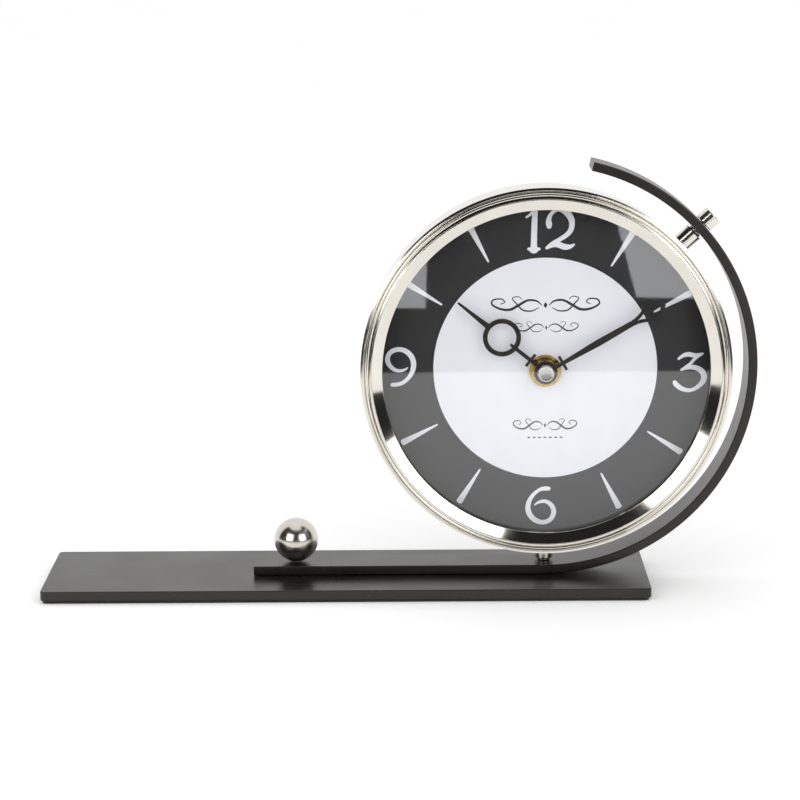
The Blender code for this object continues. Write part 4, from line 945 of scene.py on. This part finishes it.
# --- Motor and circuit ----------------------------------------------------------------------
# The stepping motor: a stator stamped from silicon steel, a coil of enamelled copper wire, and
# a green circuit board with its crystal and a blob of black resin over the chip.


def wound_copper():
    finish = Finish("copper_winding")
    x, y, z = finish.where.split()
    lay = finish.noise(1.0, 2.0, finish.vector(x * 9000.0, y * 60.0, z * 60.0))
    colour = finish.ramp(lay, (0.35, (0.30, 0.085, 0.028)), (0.65, (0.62, 0.22, 0.09)))
    return finish.surface(colour, finish.between(lay, 0.3, 0.7, 0.22, 0.36), Metallic=0.9,
                          Normal=finish.bump(lay, 0.00005, 0.9))


def masked_board():
    finish = Finish("circuit_board")
    tracks = finish.between(finish.noise(520.0, 1.0), 0.52, 0.56)
    colour = finish.mix(tracks, (0.010, 0.060, 0.026), (0.022, 0.110, 0.048))
    return finish.surface(colour, 0.34 + tracks * 0.1, Normal=finish.bump(tracks, 0.00004, 0.7))


def rolled_steel():
    finish = Finish("silicon_steel")
    x, y, z = finish.where.split()
    rolled = finish.noise(1.0, 3.0, finish.vector(x * 300.0, y * 4000.0, z * 3200.0))
    colour = finish.ramp(rolled, (0.3, (0.30, 0.31, 0.33)), (0.7, (0.46, 0.46, 0.47)))
    return finish.surface(colour, finish.between(rolled, 0.3, 0.7, 0.32, 0.46), Metallic=1.0,
                          Normal=finish.bump(rolled, 0.00001, 0.5))


steel = rolled_steel()
dress(steel, "stator")
dress(wound_copper(), "coil")
dress(masked_board(), "circuit_board")

# --- Battery and contacts -------------------------------------------------------------------
# One AA cell in a printed film sleeve, with a crimped steel can at its ends, held between two
# leaf contacts of plated spring steel. The sleeve is black with a copper band and no words.
cell_radius = 7.0 * MM
can_radius = 5.4 * MM
band_share = 0.27
cell_low, cell_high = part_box("battery")
cell_axis = Vector((cell_low.x, (cell_low.y + cell_high.y) / 2, (cell_low.z + cell_high.z) / 2))
cell_length = cell_high.x - cell_low.x


def cell_sleeve():
    finish = Finish("battery_wrap")
    along = (finish.where.split()[0] - cell_low.x) / cell_length
    band = finish.between(along, 1 - band_share, 1 - band_share + 0.01)
    line = finish.between(along, 1 - band_share - 0.03, 1 - band_share - 0.025) * (1.0 - band)
    scuff = finish.noise(700.0, 4.0)
    colour = finish.mix(band, (0.012, 0.012, 0.014), (0.62, 0.30, 0.12))
    colour = finish.mix(line, colour, (0.72, 0.70, 0.66))
    metal = band * 0.75
    return finish.surface(colour, finish.between(scuff, 0.3, 0.8, 0.24, 0.40), Metallic=metal,
                          Normal=finish.bump(scuff, 0.00002, 0.4))


def plated_spring():
    finish = Finish("plated_steel")
    smear = finish.noise(260.0, 4.0)
    colour = finish.ramp(smear, (0.3, (0.52, 0.51, 0.48)), (0.7, (0.68, 0.67, 0.64)))
    return finish.surface(colour, finish.between(smear, 0.3, 0.7, 0.16, 0.30), Metallic=1.0,
                          Normal=finish.bump(finish.noise(2200.0), 0.00001, 0.4))


plated = plated_spring()
dress(plated, "contact_minus", "contact_plus")
sleeve_end = cell_length - 1.25 * MM
sleeve_points = eased([(0.0, 0.25 * MM), (5.6 * MM, 0.25 * MM), (5.6 * MM, 0.1 * MM),
                       (cell_radius, 0.1 * MM), (cell_radius, sleeve_end), (can_radius, sleeve_end),
                       (can_radius, cell_length - 1.5 * MM), (0.0, cell_length - 1.5 * MM)], 0.4 * MM)
sleeve_mesh = turned("cell_sleeve", sleeve_points, cell_axis, (1, 0, 0), 96)
fit(piece("cell_sleeve", sleeve_mesh, cell_sleeve()), "battery", "battery_wrap", "battery")
nub_points = eased([(0.0, cell_length - 1.55 * MM), (5.3 * MM, cell_length - 1.55 * MM),
                    (5.3 * MM, cell_length - 1.35 * MM), (2.7 * MM, cell_length - 1.2 * MM),
                    (2.6 * MM, cell_length), (0.0, cell_length)], 0.25 * MM)
nub = piece("cell_terminal", turned("cell_terminal", nub_points, cell_axis, (1, 0, 0), 64), plated)
fit(nub, "battery", "battery_wrap")
end_points = eased([(0.0, 0.0), (can_radius, 0.0), (can_radius, 0.24 * MM), (0.0, 0.24 * MM)], 0.1 * MM)
cell_end = piece("cell_base", turned("cell_base", end_points, cell_axis, (1, 0, 0), 64), plated)
fit(cell_end, "battery", "battery_wrap")

# --- Setting knob ---------------------------------------------------------------------------
# A black knob behind the movement sets the hands through its small wheel. A moulded grip with
# fine ribs runs round it so that a finger can turn it.
knob_radius = 6.0 * MM
knob_face = 4.0 * MM
grip_wall = 0.25 * MM
knob_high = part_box("set_knob")[1]
knob_axis = Vector((knob_high.x - knob_radius, 0.0, knob_high.z - knob_radius))


def grip_tree(sizes):
    """A thin band with ribs standing on it, round an axis along Y."""
    graph, size = geometry("knob_grip", sizes)
    circle_points = graph.node("GeometryNodeMeshCircle", inputs={"Vertices": size["Ribs"],
                                                                 "Radius": size["Radius"]})
    points = graph.node("GeometryNodeMeshToPoints", inputs={"Mesh": circle_points})
    rib = graph.node("GeometryNodeMeshCylinder", inputs={"Vertices": 8, "Radius": size["Rib radius"],
                                                         "Depth": size["Length"]})
    ribs = graph.node("GeometryNodeInstanceOnPoints", inputs={"Points": points, "Instance": rib})
    centre = graph.vector(size["Centre X"], size["Centre Y"], size["Centre Z"])
    laid = graph.node("GeometryNodeTransform", inputs={"Geometry": ribs, "Translation": centre,
                                                       "Rotation": (math.pi / 2, 0.0, 0.0)})
    whole = graph.node("GeometryNodeJoinGeometry")
    for part in (size["Geometry"], laid):
        graph.tree.links.new(part.link, whole.link.node.inputs[0])
    close(graph, whole, size["Material"])
    return graph


grip_sizes = {"Ribs": 44, "Radius": knob_radius + 0.1 * MM, "Rib radius": 0.26 * MM,
              "Length": knob_face - 0.7 * MM, "Centre X": knob_axis.x,
              "Centre Y": knob_high.y - knob_face / 2 - 0.05 * MM, "Centre Z": knob_axis.z,
              "Material": black_plastic}
grip_inner = knob_radius - 0.35 * MM
grip_outer = knob_radius + grip_wall
grip_front = knob_high.y - knob_face
grip_back = knob_high.y - 0.1 * MM
band_points = [(grip_inner, grip_back), (grip_inner, grip_front), (grip_outer, grip_front),
               (grip_outer, grip_back)]
band_mesh = turned("grip_band", band_points, knob_axis, sides=88, closed=True)
grip = piece("knob_grip", grow("knob_grip", grip_tree(grip_sizes), grip_sizes, band_mesh), black_plastic)
fit(grip, "set_knob", "black_plastic")
dress(black_plastic, "set_knob")

# --- Hands ----------------------------------------------------------------------------------
# Two hands stamped from thin steel and lacquered black; the hour hand has an open ring and the
# minute hand an open tip. A round nickel nut on the arbor's end holds them.
hand_edge = 0.12 * MM
hand_lacquer = lacquered("hand_lacquer", 90.0)
for hand, body in (("hour_hand", "hour_train"), ("minute_hand", "minute_train")):
    stamping = cad_mesh(hand + "_stamped", hand)
    stamped = piece(hand + "_stamped", stamping, hand_lacquer, 35.0, hand_edge, 60.0)
    fit(stamped, body, "black_hand", hand)
nut_low, nut_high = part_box("cap_nut")
nut_radius = (nut_high.x - nut_low.x) / 2
nut_height = nut_high.y - nut_low.y
nut_back = Vector((shaft_axis.x, nut_high.y, shaft_axis.z))
nut_points = eased([(0.0, 0.0), (nut_radius, 0.0), (nut_radius, nut_height * 0.72),
                    (nut_radius * 0.86, nut_height), (nut_radius * 0.7, nut_height * 0.93),
                    (0.0, nut_height * 0.9)], 0.22 * MM)
end_nut = piece("hand_nut", turned("hand_nut", nut_points, nut_back, (0, -1, 0), 72),
                nickel("nut_nickel", 0.16, shaft_axis, (0.80, 0.79, 0.76), 0.6))
fit(end_nut, "minute_train", "polished_nickel", "cap_nut")

# --- Back -----------------------------------------------------------------------------------
# A pressed disc of black painted steel with a square window for the movement and a shallow
# step near its edge. Four small screws with cross slots hold it to the drum's lip.
back_sides = 192
window_half = 29.0 * MM
step_outer = 70.0 * MM
step_inner = 68.6 * MM
step_depth = 0.35 * MM
back_low, back_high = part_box("back_cover")
back_radius = (back_high.x - back_low.x) / 2


def square(centre, half, y, sides):
    """Points round a square, in step with those of a circle."""
    points = []
    for k in range(sides):
        angle = math.tau * k / sides
        reach = half / max(abs(math.cos(angle)), abs(math.sin(angle)))
        points.append((centre.x + reach * math.cos(angle), y, centre.z + reach * math.sin(angle)))
    return points


back_rings = [square(shaft_axis, window_half, back_low.y, back_sides),
              square(shaft_axis, window_half, back_high.y - 0.15 * MM, back_sides),
              square(shaft_axis, window_half + 0.15 * MM, back_high.y, back_sides),
              circle(shaft_axis, 52.0 * MM, back_high.y, back_sides),
              circle(clock_axis, step_inner, back_high.y, back_sides),
              circle(clock_axis, (step_inner + step_outer) / 2, back_high.y - step_depth, back_sides),
              circle(clock_axis, step_outer, back_high.y, back_sides),
              circle(clock_axis, back_radius - 0.3 * MM, back_high.y, back_sides),
              circle(clock_axis, back_radius, back_high.y - 0.3 * MM, back_sides),
              circle(clock_axis, back_radius, back_low.y, back_sides)]
painted = moulded("painted_back", (0.018, 0.018, 0.018), (0.030, 0.030, 0.030), 0.40)
back = piece("pressed_back", skin("pressed_back", back_rings, closed=True), painted, 25.0)
fit(back, "clock", "black_plastic", "back_cover")


def screw_tree(sizes):
    """One screw head with a cross slot cut in it, set at four places round the back."""
    graph, size = geometry("back_screws", sizes)
    blade_sizes = (graph.vector(size["Slot length"], size["Slot width"], size["Slot depth"] * 2.0),
                   graph.vector(size["Slot width"], size["Slot length"], size["Slot depth"] * 2.0))
    head = size["Geometry"]
    top = graph.vector(0.0, 0.0, size["Head height"])
    for blade_size in blade_sizes:
        blade = graph.node("GeometryNodeMeshCube", inputs={"Size": blade_size})
        blade = graph.node("GeometryNodeTransform", inputs={"Geometry": blade, "Translation": top})
        cut = graph.node("GeometryNodeMeshBoolean", {"operation": "DIFFERENCE"}, {"Mesh 1": head})
        graph.tree.links.new(blade.link, cut.link.node.inputs["Mesh 2"])
        head = cut
    ring = graph.node("GeometryNodeMeshCircle", inputs={"Vertices": 4, "Radius": size["Circle"]})
    points = graph.node("GeometryNodeMeshToPoints", inputs={"Mesh": ring})
    spin = graph.vector(0.0, 0.0, graph.node("GeometryNodeInputIndex") * size["Stopped at"] + 0.4)
    screws = graph.node("GeometryNodeInstanceOnPoints", inputs={"Points": points, "Instance": head,
                                                                "Rotation": spin})
    place = graph.vector(size["Centre X"], size["Front"], size["Centre Z"])
    turned_once = graph.node("GeometryNodeTransform", inputs={"Geometry": screws,
                                                              "Rotation": (0.0, 0.0, math.pi / 4)})
    laid = graph.node("GeometryNodeTransform", inputs={"Geometry": turned_once, "Translation": place,
                                                       "Rotation": (-math.pi / 2, 0.0, 0.0)})
    close(graph, laid, size["Material"])
    return graph


screw_low, screw_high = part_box("cover_screw_1")
screw_circle = math.sqrt(2.0) * ((screw_low.x + screw_high.x) / 2 - clock_axis.x)
screw_head = (screw_high.x - screw_low.x) / 2
head_height = screw_high.y - back_high.y
screw_sizes = {"Circle": screw_circle, "Slot length": 2.6 * MM, "Slot width": 0.6 * MM,
               "Slot depth": 0.7 * MM, "Head height": head_height, "Stopped at": 0.83,
               "Centre X": clock_axis.x, "Centre Z": clock_axis.z, "Front": back_high.y, "Material": zinc}
shank_radius = 1.2 * MM
shank_end = -4.2 * MM
head_under = 0.3 * MM
head_points = eased([(0.0, shank_end), (shank_radius, shank_end), (shank_radius, head_under),
                     (screw_head, head_under), (screw_head * 0.96, head_height * 0.6),
                     (screw_head * 0.6, head_height), (0.0, head_height)], 0.3 * MM)
head_mesh = turned("screw_head", head_points, Vector((0.0, 0.0, 0.0)), (0, 0, 1), 40)
screws_mesh = grow("back_screws", screw_tree(screw_sizes), screw_sizes, head_mesh)
screws = piece("back_screws", screws_mesh, zinc, 30.0)
fit(screws, "clock", "zinc_screw", "cover_screw_1", "cover_screw_2", "cover_screw_3", "cover_screw_4")

# --- Studio ---------------------------------------------------------------------------------
# A white table and a white surround, two square soft boxes in front and the dark room behind
# the camera, which only polished surfaces and the glass show.
table_half = 9.0
table_front = -0.577  # where the white table ends, in front of the clock
dark_colour = (0.02, 0.02, 0.02)
one_face = [(0, 1, 2, 3)]


def glow(name, colour, strength):
    material = bpy.data.materials.new(name)
    material.use_nodes = True
    material.node_tree.nodes.clear()
    graph = Graph(material.node_tree)
    shine = graph.node("ShaderNodeEmission", inputs={"Color": colour, "Strength": strength})
    graph.node("ShaderNodeOutputMaterial", inputs={"Surface": shine})
    return material


def staged(name, points, faces, material, seen=False):
    """A surface of the studio; unless seen, it shows only in reflections."""
    mesh = bpy.data.meshes.new(name)
    mesh.from_pydata(points, [], faces)
    made = bpy.data.objects.new(name, mesh)
    bpy.context.scene.collection.objects.link(made)
    mesh.materials.append(material)
    if not seen:
        made.visible_camera = False
        made.visible_diffuse = False
        made.visible_shadow = False
        made.visible_transmission = False
    return made


def table_top():
    finish = Finish("white_table")
    tone = finish.noise(3.0, 2.0)
    colour = finish.ramp(tone, (0.3, (0.90, 0.90, 0.90)), (0.7, (0.92, 0.92, 0.92)))
    return finish.surface(colour, 0.9, Specular_IOR_Level=0.0, Normal=finish.bump(tone, 0.0001, 0.1),
                          Emission_Color=(1.0, 1.0, 1.0), Emission_Strength=0.09)


def oblong(x0, y0, x1, y1, z):
    return [(x0, y0, z), (x1, y0, z), (x1, y1, z), (x0, y1, z)]


table = oblong(-table_half, -table_half, table_half, table_half, 0.0)
staged("table", table, one_face, table_top(), True)
far_floor = oblong(-table_half, -table_half, table_half, table_front, 0.001)
staged("dark_floor", far_floor, one_face, glow("dark_floor", dark_colour, 1.0))

shell_radius = 2.0
shell_top = math.radians(62)
shell_side = math.radians(100)
shell_rows = 8
shell_columns = 20
shell_points, shell_faces = [], []
for row in range(shell_rows + 1):
    rise = shell_top * row / shell_rows
    for column in range(shell_columns + 1):
        swing = shell_side * (2 * column / shell_columns - 1)
        shell_points.append((shell_radius * math.cos(rise) * math.sin(swing),
                             -shell_radius * math.cos(rise) * math.cos(swing),
                             shell_radius * math.sin(rise)))
for row in range(shell_rows):
    for column in range(shell_columns):
        k = row * (shell_columns + 1) + column
        above = k + shell_columns + 1
        shell_faces.append((k, k + 1, above + 1, above))
staged("dark_room", shell_points, shell_faces, glow("dark_room", dark_colour, 1.0))


def card(name, azimuth, elevation, distance, half_width, half_height, material):
    """A flat card that faces the clock; azimuth is measured from straight in front."""
    a, e = math.radians(azimuth), math.radians(elevation)
    out = Vector((math.sin(a) * math.cos(e), -math.cos(a) * math.cos(e), math.sin(e)))
    middle = Vector((0.0, 0.0, 0.1)) + out * distance
    side = Vector((math.cos(a), math.sin(a), 0.0)) * half_width
    up = side.cross(out).normalized() * -half_height
    corners = [middle - side - up, middle + side - up, middle + side + up, middle - side + up]
    return staged(name, corners, one_face, material)


soft_box = glow("soft_box", (1.0, 0.99, 0.97), 3.2)
for side, azimuth in (("left", -36.0), ("right", 36.0)):
    card(side + "_soft_box", azimuth, 18.5, 1.2, 0.35, 0.33, soft_box)
patch = glow("bright_panel", (0.97, 0.98, 1.0), 2.6)
staged("right_panel", [(0.213, -1.381, 0.002), (0.192, -0.886, 0.002), (0.60, -0.820, 0.002),
                       (0.60, -1.30, 0.002)], one_face, patch)
staged("left_panel", [(0.021, -1.098, 0.002), (0.018, -0.840, 0.002), (-0.40, -0.850, 0.002),
                      (-0.40, -1.098, 0.002)], one_face, patch)


def lamp(name, place, target, size, power):
    light = bpy.data.lights.new(name, "AREA")
    light.shape = "SQUARE"
    light.size = size
    light.energy = power
    made = bpy.data.objects.new(name, light)
    bpy.context.scene.collection.objects.link(made)
    made.location = place
    made.rotation_mode = "QUATERNION"
    made.rotation_quaternion = (Vector(target) - Vector(place)).to_track_quat("-Z", "Y")
    made.visible_camera = False
    made.visible_glossy = False


for side, x in (("left", -0.75), ("right", 0.75)):
    lamp(side + "_lamp", (x, -0.90, 0.55), (0.0, 0.0, 0.08), 0.6, 1.7)
lamp("top_lamp", (0.1, 0.2, 1.5), (0.0, 0.0, 0.0), 1.2, 1.2)
surround = bpy.data.worlds.new("white_surround")
surround.use_nodes = True
surround.node_tree.nodes.clear()
sky = Graph(surround.node_tree)
sky.node("ShaderNodeOutputWorld", inputs={"Surface": sky.node("ShaderNodeBackground", inputs={
    "Color": (1.0, 1.0, 1.0), "Strength": 1.0})})
bpy.context.scene.world = surround
bpy.context.scene.view_settings.view_transform = "Standard"

# --- Camera ---------------------------------------------------------------------------------
# A long lens in front of the clock and a little above it, looking slightly down.
camera_place = Vector((6.48, -1261.79, 357.16)) * MM
camera_yaw = math.radians(-0.265)
camera_pitch = math.radians(11.806)
camera_roll = math.radians(-0.407)
ahead = Vector((math.sin(camera_yaw) * math.cos(camera_pitch),
                math.cos(camera_yaw) * math.cos(camera_pitch), -math.sin(camera_pitch)))
level_right = Vector((math.cos(camera_yaw), -math.sin(camera_yaw), 0.0))
level_up = level_right.cross(ahead)
right = level_right * math.cos(camera_roll) + level_up * math.sin(camera_roll)
up = level_up * math.cos(camera_roll) - level_right * math.sin(camera_roll)
lens = bpy.data.cameras.new("camera")
lens.lens = 116.73
lens.sensor_width = 36.0
lens.clip_start = 0.05
lens.clip_end = 60.0
camera = bpy.data.objects.new("camera", lens)
bpy.context.scene.collection.objects.link(camera)
camera.matrix_world = Matrix((right, up, -ahead)).transposed().to_4x4()
camera.location = camera_place
bpy.context.scene.camera = camera
